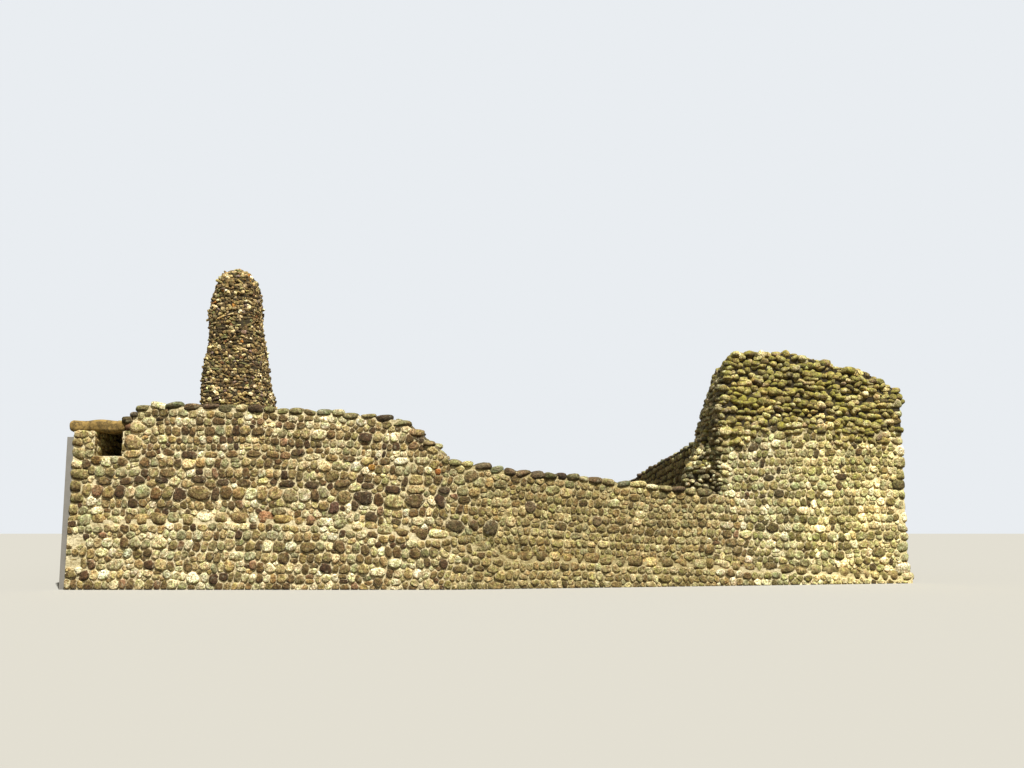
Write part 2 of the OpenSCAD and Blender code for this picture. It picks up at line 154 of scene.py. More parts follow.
class KeepStones(bpy.types.PropertyGroup):
    """Sizes of the stones and joints"""

    joint: length("Mortar joint", "Width of the mortar between two stones of a course", 0.006, 0.002, 0.05)
    relief: length("Stone relief", "How far a usual stone stands proud of its mortar", 0.037, 0.01, 0.08)
    coping_length: length("Coping stone length", "Usual length of the coping's cobbles", 0.225, 0.1, 0.4)
    coping_height: length("Coping stone height", "Usual height of the coping's cobbles", 0.108, 0.05, 0.2)
    top_row: length("Top row width", "Spacing of the rows of cobbles over the wall tops", 0.205, 0.1, 0.4)
    rough_course: length("Crown course height", "Usual height of the crown's rough courses", 0.092, 0.06, 0.2)
    small_course: length("Pillar course height", "Usual height of the pillar's courses", 0.062, 0.04, 0.15)


class KeepColours(bpy.types.PropertyGroup):
    """Colours of mortar, growth and the odd pieces"""

    mortar: tone("Lime mortar", "Clean lime mortar of the repaired faces", "#ecdeb8")
    old_mortar: tone("Old mortar", "Weathered mortar of the low wall and the yard", "#bcad80")
    # the bare core is dark, washed out mortar, made darker still as painted shade in the gaps between the
    # rubble
    core: tone("Bare core", "Dark, washed out mortar of the broken core", "#3b3322")
    moss: tone("Moss", "Yellow-green moss on the crown", "#9a9338")
    lichen: tone("Lichen", "Pale lichen spots", "#bdb798")
    lintel: tone("Lintel sandstone", "Yellow-brown stone over the window slot", "#8f7542")
    steel: tone("Zinc coat", "Grey of the post's zinc coat", "#918d88")


# The solids' surfaces and the walls they form

WALL_NODES = {
    "front_west": ("footing_front_west", "corner_pier", "window_breast", "window_lintel_outer",
                   "window_lintel_inner", "front_wall_high", "front_wall_steps", "front_coping_high",
                   "front_coping_steps", "steel_post"),
    "front_east": ("footing_front_east", "front_wall_low_west", "front_wall_low_east", "front_coping_low",
                   "stub_foot", "stub_body", "stub_head", "corner_mass", "corner_crown"),
    "east": ("footing_east", "corner_return", "east_wall_near", "east_wall_far", "east_coping"),
    "back": ("footing_back", "back_wall_east", "back_wall_rise", "back_wall_west", "back_coping_east",
             "back_coping_rise", "back_coping_west"),
    "west": ("footing_west", "west_wall_back", "west_wall_pillar", "west_wall_shoulder", "west_wall_low",
             "west_coping_back", "west_coping_low", "pillar_foot", "pillar_shaft", "pillar_head"),
}
WALL_OF = {name: wall for wall, names in WALL_NODES.items() for name in names}
PILLAR = ("pillar_foot", "pillar_shaft", "pillar_head")
BROKEN = ("stub_head", "corner_crown", "corner_return")
BARE_TOPS = ("front_wall_high", "west_wall_shoulder", "west_wall_pillar")


UP = np.array((0.0, 0.0, 1.0))
SKY_Z = 9.0  # a height over everything, to look down from


def unit(vectors):
    """The vectors with a length of one."""
    return vectors / np.maximum(np.linalg.norm(vectors, axis=-1), 1e-9)[..., None]


def smooth(value, low, high):
    """Smooth step from 0 at low to 1 at high."""
    share = np.clip((value - low) / (high - low), 0, 1)
    return share * share * (3 - 2 * share)


def end_to_end(start, end, draw_size, share=1.0):
    """Starts and sizes of things laid in a row, each start a share of the last size further on."""
    at = start
    while at < end:
        size = draw_size()
        yield at, size
        at += size * share


class Surface:
    """Every triangle of the CAD nodes, with its unit normal, plane offset and node."""

    def __init__(self):
        corners, owners = [], []
        self.names = np.array(sorted(frame["nodes"]))
        for index, name in enumerate(self.names):
            mesh = frame["nodes"][name].data
            mesh.calc_loop_triangles()
            points = np.empty(len(mesh.vertices) * 3)
            mesh.vertices.foreach_get("co", points)
            picks = np.empty(len(mesh.loop_triangles) * 3, np.int32)
            mesh.loop_triangles.foreach_get("vertices", picks)
            corners.append(points.reshape(-1, 3)[picks.reshape(-1, 3)])
            owners.append(np.full(len(picks) // 3, index))
        self.corners = np.concatenate(corners)
        self.owner = np.concatenate(owners)
        crossed = np.cross(self.corners[:, 1] - self.corners[:, 0], self.corners[:, 2] - self.corners[:, 0])
        self.area = np.linalg.norm(crossed, axis=1) / 2
        self.normal = unit(crossed)
        self.offset = (self.normal * self.corners[:, 0]).sum(1)
        points = self.corners.reshape(-1, 3).tolist()
        self.tree = BVHTree.FromPolygons(points, np.arange(len(points)).reshape(-1, 3).tolist())

    def of(self, names):
        """Which triangles belong to the named nodes."""
        return np.isin(self.names[self.owner], names)

    def hit(self, start, way):
        """Where a ray meets the solids, the normal there and the node, or None."""
        spot, normal, index, _ = self.tree.ray_cast(Vector(start), Vector(way))
        return None if spot is None else (np.array(spot), np.array(normal), self.names[self.owner[index]])

    def hit_from_above(self, place):
        """What lies uppermost at a place in plan."""
        return self.hit((*place, SKY_Z), (0, 0, -1))


class Wall:
    """A straight wall: its outer face line, with the yard on its left."""

    def __init__(self, start, end, thick):
        self.start = np.array(start, float)
        self.length = float(np.linalg.norm(np.array(end) - self.start))
        self.along = (np.array(end) - self.start) / self.length
        self.inward = np.array([-self.along[1], self.along[0]])
        self.ahead = np.array([*self.along, 0.0])
        self.thick = thick

    def place(self, station, depth):
        """Plan places at a station along the wall and a depth behind its outer face."""
        return self.start + np.multiply.outer(station, self.along) + np.multiply.outer(depth, self.inward)

    def station(self, points):
        """How far along the wall points are."""
        return (points[..., :2] - self.start) @ self.along


def corner_of(node, key):
    """The plan corner of a CAD node that scores highest."""
    points = np.array([v.co[:2] for v in frame["nodes"][node].data.vertices])
    return points[np.argmax([key(p) for p in points])]


def plan_walls():
    """The five walls, from the corners of the CAD nodes at their ends."""
    pier_low, pier_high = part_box("corner_pier")
    west_front = np.array(pier_low[:2])
    # the bend is the easternmost of the front corners, and the last corner the easternmost of the back ones
    bend = corner_of("front_wall_steps", lambda p: p[0] - 9 * p[1])
    east_front = corner_of("corner_mass", lambda p: p[0])
    mass_left = corner_of("corner_mass", lambda p: -p[1])
    back_east = corner_of("east_wall_far", lambda p: p[1] + 0.1 * p[0])
    back_west = np.array([pier_low[0], back_east[1]])
    low_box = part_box("west_wall_low")
    back_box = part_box("back_wall_west")
    front = pier_high[1] - pier_low[1]
    return {
        "front_west": Wall(west_front, bend, front),
        "front_east": Wall(bend, east_front, front),
        "east": Wall(east_front, back_east, float(np.linalg.norm(east_front - mass_left))),
        "back": Wall(back_east, back_west, back_box[1][1] - back_box[0][1]),
        "west": Wall(back_west, west_front, low_box[1][0] - low_box[0][0]),
    }


SOLID = Surface()
WALLS = plan_walls()
BEND_X = float(WALLS["front_east"].start[0])
STUB_X = float(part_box("stub_foot")[0][0])
MASS_X = float(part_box("corner_mass")[0][0])
CROWN_Z = float(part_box("corner_crown")[0][2])
# Where the front's looks change over: to the dull low wall, to the right part of the corner mass, which is
# painted lighter as painted sunlight, and up to the bare, mossy crown
DULL_X = (BEND_X - 0.5, BEND_X + 0.6)
SUNLIT_MASS_X = (MASS_X + 0.5, MASS_X + 1.2)
BARE_Z = (CROWN_Z - 0.3, CROWN_Z + 0.2)

# Heights of the courses in millimetres, from the lowest ground up. L marks a levelling course of
# long flat stones. The east leg has lower and more even courses than the west leg.
WEST_COURSES_MM = [
    160, 150, 165, 155, 170, 150, 160, 145, 145, 215, "L125", 160, 150, "L115", 105, 125, 155, 130, 120,
    140, 150, "L120", 145, 160, 135, 150, 140, 155, 145, 150, 140, 150, 145, 150,
]
EAST_COURSES_MM = [128, 120, 135, "L100", 118, 126, 130, 122, 138, 125, 116, 132] * 4
# The courses of each wall, and at stations along it how far they have dropped, in metres, and how
# high they are against their list
COURSES = {
    "front_west": (WEST_COURSES_MM, [0.0, 2.2, 4.2, 5.9], [0.0, 0.03, 0.09, 0.16], [1, 1, 1, 1]),
    "front_east": (EAST_COURSES_MM, [0.0, 2.0, 4.0, 5.6], [0.16, 0.15, 0.20, 0.38], [1.18, 1.06, 1.0, 1.12]),
    "east": (EAST_COURSES_MM, [0.0, 2.9, 8.6], [0.34, 0.50, 1.31], [1.04, 1.1, 1.15]),
    "back": (WEST_COURSES_MM, [0.0, 3.5, 6.5], [0.35, 0.30, 0.05], [1, 1, 1]),
    "west": (WEST_COURSES_MM, [0.0, 1.0], [0.0, 0.0], [1, 1]),
}


def course_beds(courses):
    """Bottom heights, heights and levelling marks of a list of courses."""
    heights = np.array([float(str(c).strip("L")) / 1000 for c in courses])
    level = np.array([str(c).startswith("L") for c in courses])
    return np.concatenate([[0], np.cumsum(heights)[:-1]]), heights, level


def ageing(points):
    """How old and dull, and how bare and mossy, the front looks at each point, from 0 to 1."""
    dull = smooth(points[:, 0], *DULL_X) * (1 - smooth(points[:, 0], STUB_X, MASS_X))
    bare = smooth(points[:, 2], *BARE_Z) * smooth(points[:, 0], STUB_X - 0.4, STUB_X)
    return dull, bare


# Faces on which stones are laid

CELL = 0.0125  # size of a mask cell, about two joints wide
LOWEST = -99.0  # the level of a top where there is no solid under it
EDGE_SLACK = 1e-6  # how far past a triangle's edge a cell's middle still counts as inside
BEND_DEGREES = (4, 25)  # between these two faces that meet are one wall with a bend
MEETING_GAP = 0.03  # how near the ends of such faces come to each other
HALF_BEND = 0.08  # the length on each side of the bend over which the stones turn
FOOTPRINT = 0.94  # share of a whole stone's size that its footprint takes
PLANE_STEP = 0.003  # triangles whose planes lie in one such step are on one face
PLANE_SHIFT = 0.0007  # keeps round sizes off the border between two steps
LEAST_AREA = 0.05  # smaller faces get no stones
FACES_UP = 0.45  # how far up a surface faces that counts as the top of a wall
TOUCHING = 0.002  # solids nearer than this touch
NOT_DRESSED = (*PILLAR, "steel_post", "window_lintel_outer")  # nodes without courses on them


class Face:
    """A flat face or a wall top as a grid of cells, marked where it is open to the air."""

    def __init__(self, wall, across, up, out, low, high, plane=0.0):
        self.wall = wall
        self.across, self.up, self.out = (np.array(x, float) for x in (across, up, out))
        self.low = np.array(low, float)
        self.size = np.maximum(np.ceil((np.array(high) - low) / CELL).astype(int), 1)
        self.high = self.low + self.size * CELL
        self.plane = plane
        self.open = np.zeros(self.size, bool)
        self.level = np.full(self.size, plane)
        self.owner = np.full(self.size, -1)
        # a face that turns a bend: where, the face beyond, and the way from its coordinates to that one's
        self.bend_at, self.beyond, self.step = None, None, None

    def block(self, low, high):
        """Cells of a block of face coordinates, and their middles."""
        first = np.clip(np.floor((low - self.low) / CELL).astype(int), 0, self.size)
        last = np.clip(np.ceil((high - self.low) / CELL).astype(int) + 1, 0, self.size)
        grid = np.stack(np.meshgrid(*[np.arange(a, b) for a, b in zip(first, last)], indexing="ij"), -1)
        return grid, self.low + (grid + 0.5) * CELL

    def cells(self, triangle):
        """The cells inside a triangle in space, and its barycentric weights there."""
        flat = self.flatten(triangle)
        grid, spots = self.block(flat.min(0), flat.max(0))
        edge_a, edge_b = flat[1] - flat[0], flat[2] - flat[0]
        area = edge_a[0] * edge_b[1] - edge_a[1] * edge_b[0]
        if abs(area) < 1e-9:
            return np.empty((0, 2), int), np.empty((0, 3))
        arm = spots - flat[0]
        second = (arm[..., 0] * edge_b[1] - arm[..., 1] * edge_b[0]) / area
        third = (edge_a[0] * arm[..., 1] - edge_a[1] * arm[..., 0]) / area
        inside = (second >= -EDGE_SLACK) & (third >= -EDGE_SLACK) & (second + third <= 1 + EDGE_SLACK)
        return grid[inside], np.stack([1 - second - third, second, third], -1)[inside]

    def look_up(self, spots, grid, outside):
        """Values of a grid at face coordinates."""
        cell = np.floor((spots - self.low) / CELL).astype(int)
        fits = ((cell >= 0) & (cell < self.size)).all(-1)
        cell = np.clip(cell, 0, self.size - 1)
        return np.where(fits, grid[cell[..., 0], cell[..., 1]], outside)

    def flatten(self, points):
        """Face coordinates of points, across and up."""
        return np.stack([points @ self.across, points @ self.up], -1)

    def unrolled(self, point):
        """Face coordinates of a point, round the bend if there is one."""
        spot = self.flatten(point)
        if self.beyond is not None and spot[0] > self.bend_at:
            spot = self.beyond.flatten(point) - self.step
        return spot

    def seat(self, spots):
        """Points on the face, with the directions across, up and out of it there."""
        level = self.look_up(spots, self.level, self.plane)
        points = spots[:, :1] * self.across + spots[:, 1:] * self.up + level[:, None] * self.out
        ways = [np.tile(way, (len(spots), 1)) for way in (self.across, self.up, self.out)]
        if self.beyond is None:
            return points, *ways
        there, *others = self.beyond.seat(spots + self.step)
        share = smooth(spots[:, :1], self.bend_at - HALF_BEND, self.bend_at + HALF_BEND)
        points = np.where(spots[:, :1] > self.bend_at, there, points)
        return points, *(unit(a * (1 - share) + b * share) for a, b in zip(ways, others))

    def rub_out(self, centre, frame, half):
        """Take the footprint of a whole stone out of the open cells."""
        spot = self.unrolled(centre)
        at, _, _, out = (v[0] for v in self.seat(spot[None]))
        if abs((centre - at) @ out) > (np.abs(frame @ out) * half).sum() * 0.9:
            return
        wide = FOOTPRINT * np.linalg.norm(frame @ np.stack([self.across, self.up], 1) * half[:, None], axis=0)
        grid, spots = self.block(spot - wide, spot + wide)
        if grid.size:
            gone = (np.abs((spots - spot) / wide) ** 3).sum(-1) < 1
            self.open[grid[gone][:, 0], grid[gone][:, 1]] = False


def joined(first, second):
    """Two upright faces that meet at a slight bend as one face, or None where they don't meet so."""
    turn = math.degrees(math.acos(np.clip(first.out @ second.out, -1, 1)))
    if not BEND_DEGREES[0] < turn < BEND_DEGREES[1]:
        return None
    corner = np.linalg.solve([first.out[:2], second.out[:2]], [first.plane, second.plane])
    at, there = corner @ first.across[:2], corner @ second.across[:2]
    if abs(first.high[0] - at) > MEETING_GAP or abs(second.low[0] - there) > MEETING_GAP:
        return None
    face = Face("front_west", first.across, first.up, first.out, np.minimum(first.low, (at, second.low[1])),
                np.maximum(first.high, (at + second.high[0] - there, second.high[1])), first.plane)
    face.bend_at, face.beyond, face.step = at, second, np.array([there - at, 0.0])
    _, spots = face.block(face.low, face.high)
    past = spots[..., 0] > at
    for name, outside in (("open", False), ("owner", -1)):
        here = first.look_up(spots, getattr(first, name), outside)
        beyond = second.look_up(spots + face.step, getattr(second, name), outside)
        setattr(face, name, np.where(past, beyond, here))
    return face


def upright_faces():
    """Every vertical plane of the walls that shows, with the two legs of the front joined."""
    t = SOLID
    upright = (np.abs(t.normal[:, 2]) < 0.01) & ~t.of(NOT_DRESSED)
    turn = np.round(np.degrees(np.arctan2(t.normal[:, 1], t.normal[:, 0]))).astype(int) % 360
    slot = np.round((t.offset + PLANE_SHIFT) / PLANE_STEP).astype(int)
    planes = {}
    for i in np.flatnonzero(upright):
        planes.setdefault((turn[i], slot[i]), []).append(i)
    faces = []
    for members in (planes[key] for key in sorted(planes)):
        if t.area[members].sum() < LEAST_AREA:
            continue
        out, plane = t.normal[members[0]] * (1, 1, 0), t.offset[members[0]]
        across = np.array([-out[1], out[0], 0.0])
        flat = t.corners[members].reshape(-1, 3) @ np.stack([across, UP], 1)
        walls = [WALL_OF[name] for name in t.names[t.owner[members]]]
        wall = max(sorted(set(walls)), key=lambda w: sum(a for a, x in zip(t.area[members], walls) if x == w))
        face = Face(wall, across, UP, out, flat.min(0), flat.max(0), plane)
        for i in members:
            grid, _ = face.cells(t.corners[i])
            face.open[grid[:, 0], grid[:, 1]] = True
            face.owner[grid[:, 0], grid[:, 1]] = t.owner[i]
        against = upright & (t.normal @ out < -0.999) & (np.abs(t.offset + plane) < PLANE_STEP)
        for i in np.flatnonzero(against):
            grid, _ = face.cells(t.corners[i])
            face.open[grid[:, 0], grid[:, 1]] = False
        faces.append(face)
    for first in list(faces):
        for second in list(faces):
            face = joined(first, second) if first in faces and second in faces else None
            if face:
                faces = [f for f in faces if f not in (first, second)] + [face]
    return faces


def top_face(name):
    """The top of a wall as seen from above, its levels following the solids."""
    wall, t = WALLS[name], SOLID
    base = np.array([wall.start @ wall.along, wall.start @ wall.inward])
    # a little longer than the wall, whose ends may lie past its corners
    low, high = base - (0.1, 0), base + (wall.length + 0.6, wall.thick)
    face = Face(name, wall.ahead, (*wall.inward, 0.0), UP, low, high, LOWEST)
    nodes = [n for n in WALL_NODES[name] if n not in NOT_DRESSED]
    for i in np.flatnonzero(t.of(nodes) & (t.normal[:, 2] > FACES_UP)):
        grid, weights = face.cells(t.corners[i])
        level = weights @ t.corners[i][:, 2]
        better = level > face.level[grid[:, 0], grid[:, 1]]
        grid, level = grid[better], level[better]
        face.level[grid[:, 0], grid[:, 1]] = level
        face.owner[grid[:, 0], grid[:, 1]] = t.owner[i]
        face.open[grid[:, 0], grid[:, 1]] = True
    for i in np.flatnonzero(t.normal[:, 2] < -FACES_UP):
        grid, weights = face.cells(t.corners[i])
        hidden = weights @ t.corners[i][:, 2] >= face.level[grid[:, 0], grid[:, 1]] - TOUCHING
        face.open[grid[hidden, 0], grid[hidden, 1]] = False
    return face


class Keep:
    """The faces that the steps lay stones on, found at the first call of ready."""

    upright = []
    tops = []

    @classmethod
    def ready(cls):
        if not cls.upright:
            cls.upright = upright_faces()
            cls.tops = [top_face(name) for name in WALLS]
        return cls

    @classmethod
    def claim(cls, centres, frames, half):
        """Take whole stones' footprints out of every face that they stand in."""
        for face in (*cls.upright, *cls.tops):
            for centre, axes, size in zip(centres, frames, half):
                face.rub_out(centre, axes, size)


# Laying stones in courses

STONE_KEYS = ("spot", "half", "lean", "square", "colour")
LEAN_SWING = 24  # degrees that stones lean to and fro along a course
PAIRS, ROUND = 0.08, 0.30  # shares of flat pairs, and of them and round stones together
# How many sides a stone's outline has, how far it grows past its own shape where no neighbour limits it,
# and the least radius in metres of a hole that gets a small stone: on the front, and elsewhere
FINE_FIT = (12, 1.18, 0.035)
PLAIN_FIT = (9, 1.3, 0.08)


def lay_course(random, start, end, usual, flat, upright, scale=None, slim=1.0):
    """Stones of one course: middle, half width, half height, rise, lean and squareness of each.

    Upright is the share of stones set on edge, and slim how wide those are against the usual.
    """
    stones = []
    swing = random.uniform(0, 6.3)
    at = start - random.uniform(0, 0.1)
    while at < end:
        height = usual * (scale(at) if scale else 1.0)
        kind = random.random()
        lean = LEAN_SWING * math.sin(0.8 * at + swing)
        if flat:
            width, lean, square = height * random.uniform(1.8, 3.2), random.normal(0, 2), 3.0
        elif kind < PAIRS:
            width = height * random.uniform(0.9, 1.4)
            for rise in (-0.25 * height, 0.25 * height):
                place = at + width / 2 + random.normal(0, 0.012)
                stones.append((place, 0.46 * width * random.uniform(0.8, 1), 0.25 * height, rise,
                               random.normal(0, 7), 2.6))
            at += width
            continue
        elif kind < PAIRS + upright:
            width = height * slim * random.uniform(0.60, 0.90)
            lean, square = lean + random.normal(0, 9), 3.0
        elif kind < ROUND + upright:
            width, lean, square = height * random.uniform(0.9, 1.2), random.normal(0, 22), 2.8
        else:
            width, lean, square = height * random.uniform(1.25, 1.8), random.normal(0, 7), 3.1
        grown = random.choice([0.47, 0.54, 0.60], p=[0.35, 0.5, 0.15])
        stones.append((at + width / 2, grown * width, grown * height * random.uniform(0.86, 1.14),
                       random.normal(0, 0.075 * height), lean, square))
        at += width
    return stones


def courses_of(face):
    """The walls whose courses a face follows: its own, or at a wall's end the one that it lines up with."""
    if face.beyond is not None:
        return ("front_west", "front_east")
    if abs(WALLS[face.wall].inward @ face.out[:2]) > 0.7:
        return (face.wall,)
    return (min(WALLS, key=lambda name: WALLS[name].inward @ face.out[:2]),)


def lay_wall(random, face, upright):
    """Stones over an upright face, in face coordinates, following the courses of its walls."""
    places = np.arange(face.low[0], face.high[0] + 0.05, 0.05)
    points, _, _, _ = face.seat(np.column_stack([places, 0 * places]))
    rows = []
    for name in courses_of(face):
        courses, at, drop, share = COURSES[name]
        station = WALLS[name].station(points)
        drops, shares = np.interp(station, at, drop), np.interp(station, at, share)
        own = np.ones(len(places), bool)
        if face.beyond is not None:
            own = (points[:, 0] > BEND_X) == (name == "front_east")
        slim = 0.9 if name == "front_east" else 1.0
        for bed, height, flat in zip(*course_beds(courses)):
            lowest, highest = bed * shares.min() - drops.max(), (bed + height) * shares.max() - drops.min()
            if lowest > face.high[1] or highest < face.low[1]:
                continue
            for stone in lay_course(random, places[own][0], places[own][-1], height, flat, upright,
                                    lambda place: np.interp(place, places, shares), slim):
                share_here, drop_here = (np.interp(stone[0], places, values) for values in (shares, drops))
                level = (bed + height / 2) * share_here - drop_here
                rows.append((*stone, level, flat and name == "front_west"))
    place, wide, tall, rise, lean, square, level, dark = np.array(rows).T
    colour = np.full((len(rows), 3), np.nan)
    dark = (dark > 0) & (random.random(len(rows)) < 0.65)
    colour[dark] = pick_colours(random, LEVELLING_STONES, dark.sum())
    wave = 0.015 * np.sin(1.9 * place + 1.3 * level) + 0.010 * np.sin(4.3 * place)
    return {"spot": np.stack([place, level + rise + wave], 1), "half": np.stack([wide, tall], 1),
            "lean": lean, "square": square, "colour": colour}


def with_more(stones, kept, more):
    """The stones that are kept, and more of them as tuples in the order of STONE_KEYS."""
    if not more:
        return stones
    return {key: np.concatenate([stones[key][kept], np.array(values)])
            for key, values in zip(STONE_KEYS, zip(*more))}


def course_under_top(random, face, stones):
    """The stones with the upper ones cut off and a course laid along the upper edge in their place."""
    column = np.arange(face.size[0])
    highest = face.size[1] - 1 - np.argmax(face.open[:, ::-1], 1)
    owner = SOLID.names[face.owner[column, highest]]
    wanted = face.open[column, highest] & ~np.isin(owner, BROKEN)
    edge = np.where(wanted, face.low[1] + (highest + 1) * CELL, np.inf)
    # the gaps between the coping stones don't count
    edge = np.median(np.lib.stride_tricks.sliding_window_view(np.pad(edge, 8, mode="edge"), 17), 1)

    def edge_at(places):
        return edge[np.clip(((places - face.low[0]) / CELL).astype(int), 0, len(edge) - 1)]

    upper = edge_at(stones["spot"][:, 0])
    kept = (stones["spot"][:, 1] < upper - 0.14) | np.isinf(upper)
    more = []
    for at, wide in end_to_end(face.low[0], face.high[0], lambda: random.uniform(0.09, 0.18)):
        tall = random.uniform(0.10, 0.13)
        middle = at + wide / 2
        levels = edge_at(middle + np.array([-0.3, 0, 0.3]) * wide)
        if np.isfinite(levels).all() and np.ptp(levels) < 0.12:
            lean = math.degrees(math.atan2(levels[2] - levels[0], 0.6 * wide))
            more.append(((middle, levels[1] - tall * 0.46), (wide / 2, tall / 2), lean, 2.7, (np.nan,) * 3))
    return with_more(stones, kept, more)


def add_striking(face, stones):
    """Put the front's striking stones in place of the stones that were laid there."""
    kept = np.ones(len(stones["spot"]), bool)
    more = []
    for station, height, wide, tall, lean, colour in STRIKING_STONES:
        spot = np.array([face.low[0] + station, height])
        half = np.array([wide, tall]) / 2
        kept &= (((stones["spot"] - spot) / (half + 0.03)) ** 2).sum(1) > 1
        more.append((spot, half * 1.05, -lean, 2.8, linear(colour)[:3]))
    return with_more(stones, kept, more)


def lay_top(random, face, row_width):
    """Cobbles in rows over the top of a wall."""
    rows = []
    for at, width in end_to_end(face.low[1], face.high[1], lambda: row_width * random.uniform(0.85, 1.15)):
        for place, wide, tall, rise, lean, square in lay_course(
                random, face.low[0], face.high[0], width, False, 0.25):
            rows.append(((place, at + width / 2 + rise), (wide, tall), lean * 1.5, square))
    return {key: np.array(values) for key, values in zip(STONE_KEYS, zip(*rows))}


def chinked(random, face, stones, radius, least):
    """The stones with small ones added in the holes that are left between them."""
    sides = radius.shape[1]
    angle = np.linspace(0, 2 * np.pi, sides, endpoint=False)
    free = face.open.copy()
    for spot, own in zip(stones["spot"], radius):
        grid, spots = face.block(spot - own.max(), spot + own.max())
        arm = spots - spot
        edge = np.interp(np.arctan2(arm[..., 1], arm[..., 0]), angle, own, period=2 * np.pi)
        taken = grid[np.linalg.norm(arm, axis=-1) < edge]
        free[taken[:, 0], taken[:, 1]] = False
    room = np.zeros(free.shape)
    while free.any():
        room += free
        free[1:-1, 1:-1] &= free[2:, 1:-1] & free[:-2, 1:-1] & free[1:-1, 2:] & free[1:-1, :-2]
        free[[0, -1]], free[:, [0, -1]] = False, False
    cells = np.argwhere(room * CELL >= least)
    cells = cells[np.argsort(-room[cells[:, 0], cells[:, 1]] - random.uniform(0, 0.5, len(cells)))]
    kept = np.empty((0, 3))
    for x, y in cells:
        reach = room[x, y]
        if (np.hypot(kept[:, 0] - x, kept[:, 1] - y) > 0.85 * (kept[:, 2] + reach)).all():
            kept = np.vstack([kept, (x, y, reach)])
    size = kept[:, 2:] * CELL * random.uniform((1.0, 0.85), (1.5, 1.15), (len(kept), 2))
    added = {"spot": face.low + (kept[:, :2] + 0.5) * CELL, "half": size,
             "lean": random.normal(0, 25, len(kept)), "square": np.full(len(kept), 2.6)}
    for key in stones:
        fresh = added.get(key, np.full((len(kept), *stones[key].shape[1:]), np.nan))
        stones[key] = np.concatenate([stones[key], fresh])
    return stones


def packed(random, face, stones, joint, fine):
    """Stones fitted to each other, with small ones in the holes that are left, and their outlines."""
    sides, spread, least = FINE_FIT if fine else PLAIN_FIT
    stones = moved_to_open(face, stones)
    chosen, radius = fit_outlines(random, face, stones, sides, spread, joint)
    stones = chinked(random, face, {key: stones[key][chosen] for key in stones}, radius, least)
    chosen, radius = fit_outlines(random, face, stones, sides, spread, joint)
    return {key: stones[key][chosen] for key in stones}, radius


def own_radius(half, lean, square, angle):
    """Radius of a leaning superellipse in the given directions."""
    turned = angle - np.radians(lean)[..., None]
    wide = np.abs(np.cos(turned)) / half[..., 0, None]
    tall = np.abs(np.sin(turned)) / half[..., 1, None]
    square = square[..., None]
    return (wide ** square + tall ** square) ** (-1 / square)


def outline_normal(half, lean, square, angle):
    """Which way a leaning superellipse's outline faces in the given directions."""
    turn = np.radians(lean)
    inside = np.stack([np.cos(angle - turn), np.sin(angle - turn)], 1)
    slope = np.sign(inside) * np.abs(inside) ** (square[:, None] - 1) / half ** square[:, None]
    across, up = unit(slope).T
    return np.stack([across * np.cos(turn) - up * np.sin(turn), across * np.sin(turn) + up * np.cos(turn)], 1)


REACH = 0.7  # how far apart two stones can be and still be neighbours
NEIGHBOURS = 12  # how many of them limit a stone
SOFT = 14.0  # how sharply a stone's outline turns where a neighbour limits it
LEAST_RADIUS, LEAST_MEAN_RADIUS = 0.011, 0.024  # a stone squeezed to less is left out
# Where a stone may move to if its place is taken, in half sizes across and up
SIDESTEPS = ((0, -0.6), (0, -1), (0, 0.6), (0, 1), (-0.7, 0), (0.7, 0))


def moved_to_open(face, stones):
    """The stones whose places are taken moved a little, each to the first open place beside it."""
    spot = stones["spot"].copy()
    for step in SIDESTEPS:
        taken = ~face.look_up(spot, face.open, False)
        spot[taken] = (stones["spot"] + stones["half"] * step)[taken]
    return {**stones, "spot": spot}


def limits_around(spot, half, lean, square, i, joint):
    """Which ways a stone's neighbours lie, and how far the stone may reach towards each."""
    arm = spot - spot[i]
    near = np.flatnonzero((np.abs(arm[:, 0]) < REACH) & (np.abs(arm[:, 1]) < REACH / 2))
    near = near[near != i]
    near = near[np.argsort(np.linalg.norm(arm[near], axis=1))[:NEIGHBOURS]]
    arm = arm[near]
    toward = np.arctan2(arm[:, 1], arm[:, 0])
    same = np.full(len(near), i)
    mine, theirs = (own_radius(half[who], lean[who], square[who], way[:, None])[:, 0]
                    for who, way in ((same, toward), (near, toward + np.pi)))
    normal = unit(outline_normal(half[same], lean[same], square[same], toward)
                  - outline_normal(half[near], lean[near], square[near], toward + np.pi))
    return normal, np.maximum(mine / (mine + theirs) * (arm * normal).sum(1) - joint / 2, 0.01)


def clipped_to_open(face, spot, ray, radius):
    """Outlines drawn in to where the face is open, and eased on both sides of it."""
    steps = np.linspace(0.15, 1.1, 16)
    spots = spot[:, None, None] + ray[None, :, None] * radius[:, :, None, None] * steps[None, None, :, None]
    open_air = face.look_up(spots, face.open, False)
    reached = np.where(open_air.all(2), 1.0, steps[np.argmin(open_air, 2)] - 0.06)
    clipped = radius * np.minimum(reached, 1.0)
    eased = (np.roll(clipped, 1, 1) + 2 * clipped + np.roll(clipped, -1, 1)) / 4
    return np.minimum(np.minimum(eased * 1.04, radius), clipped + 0.004)


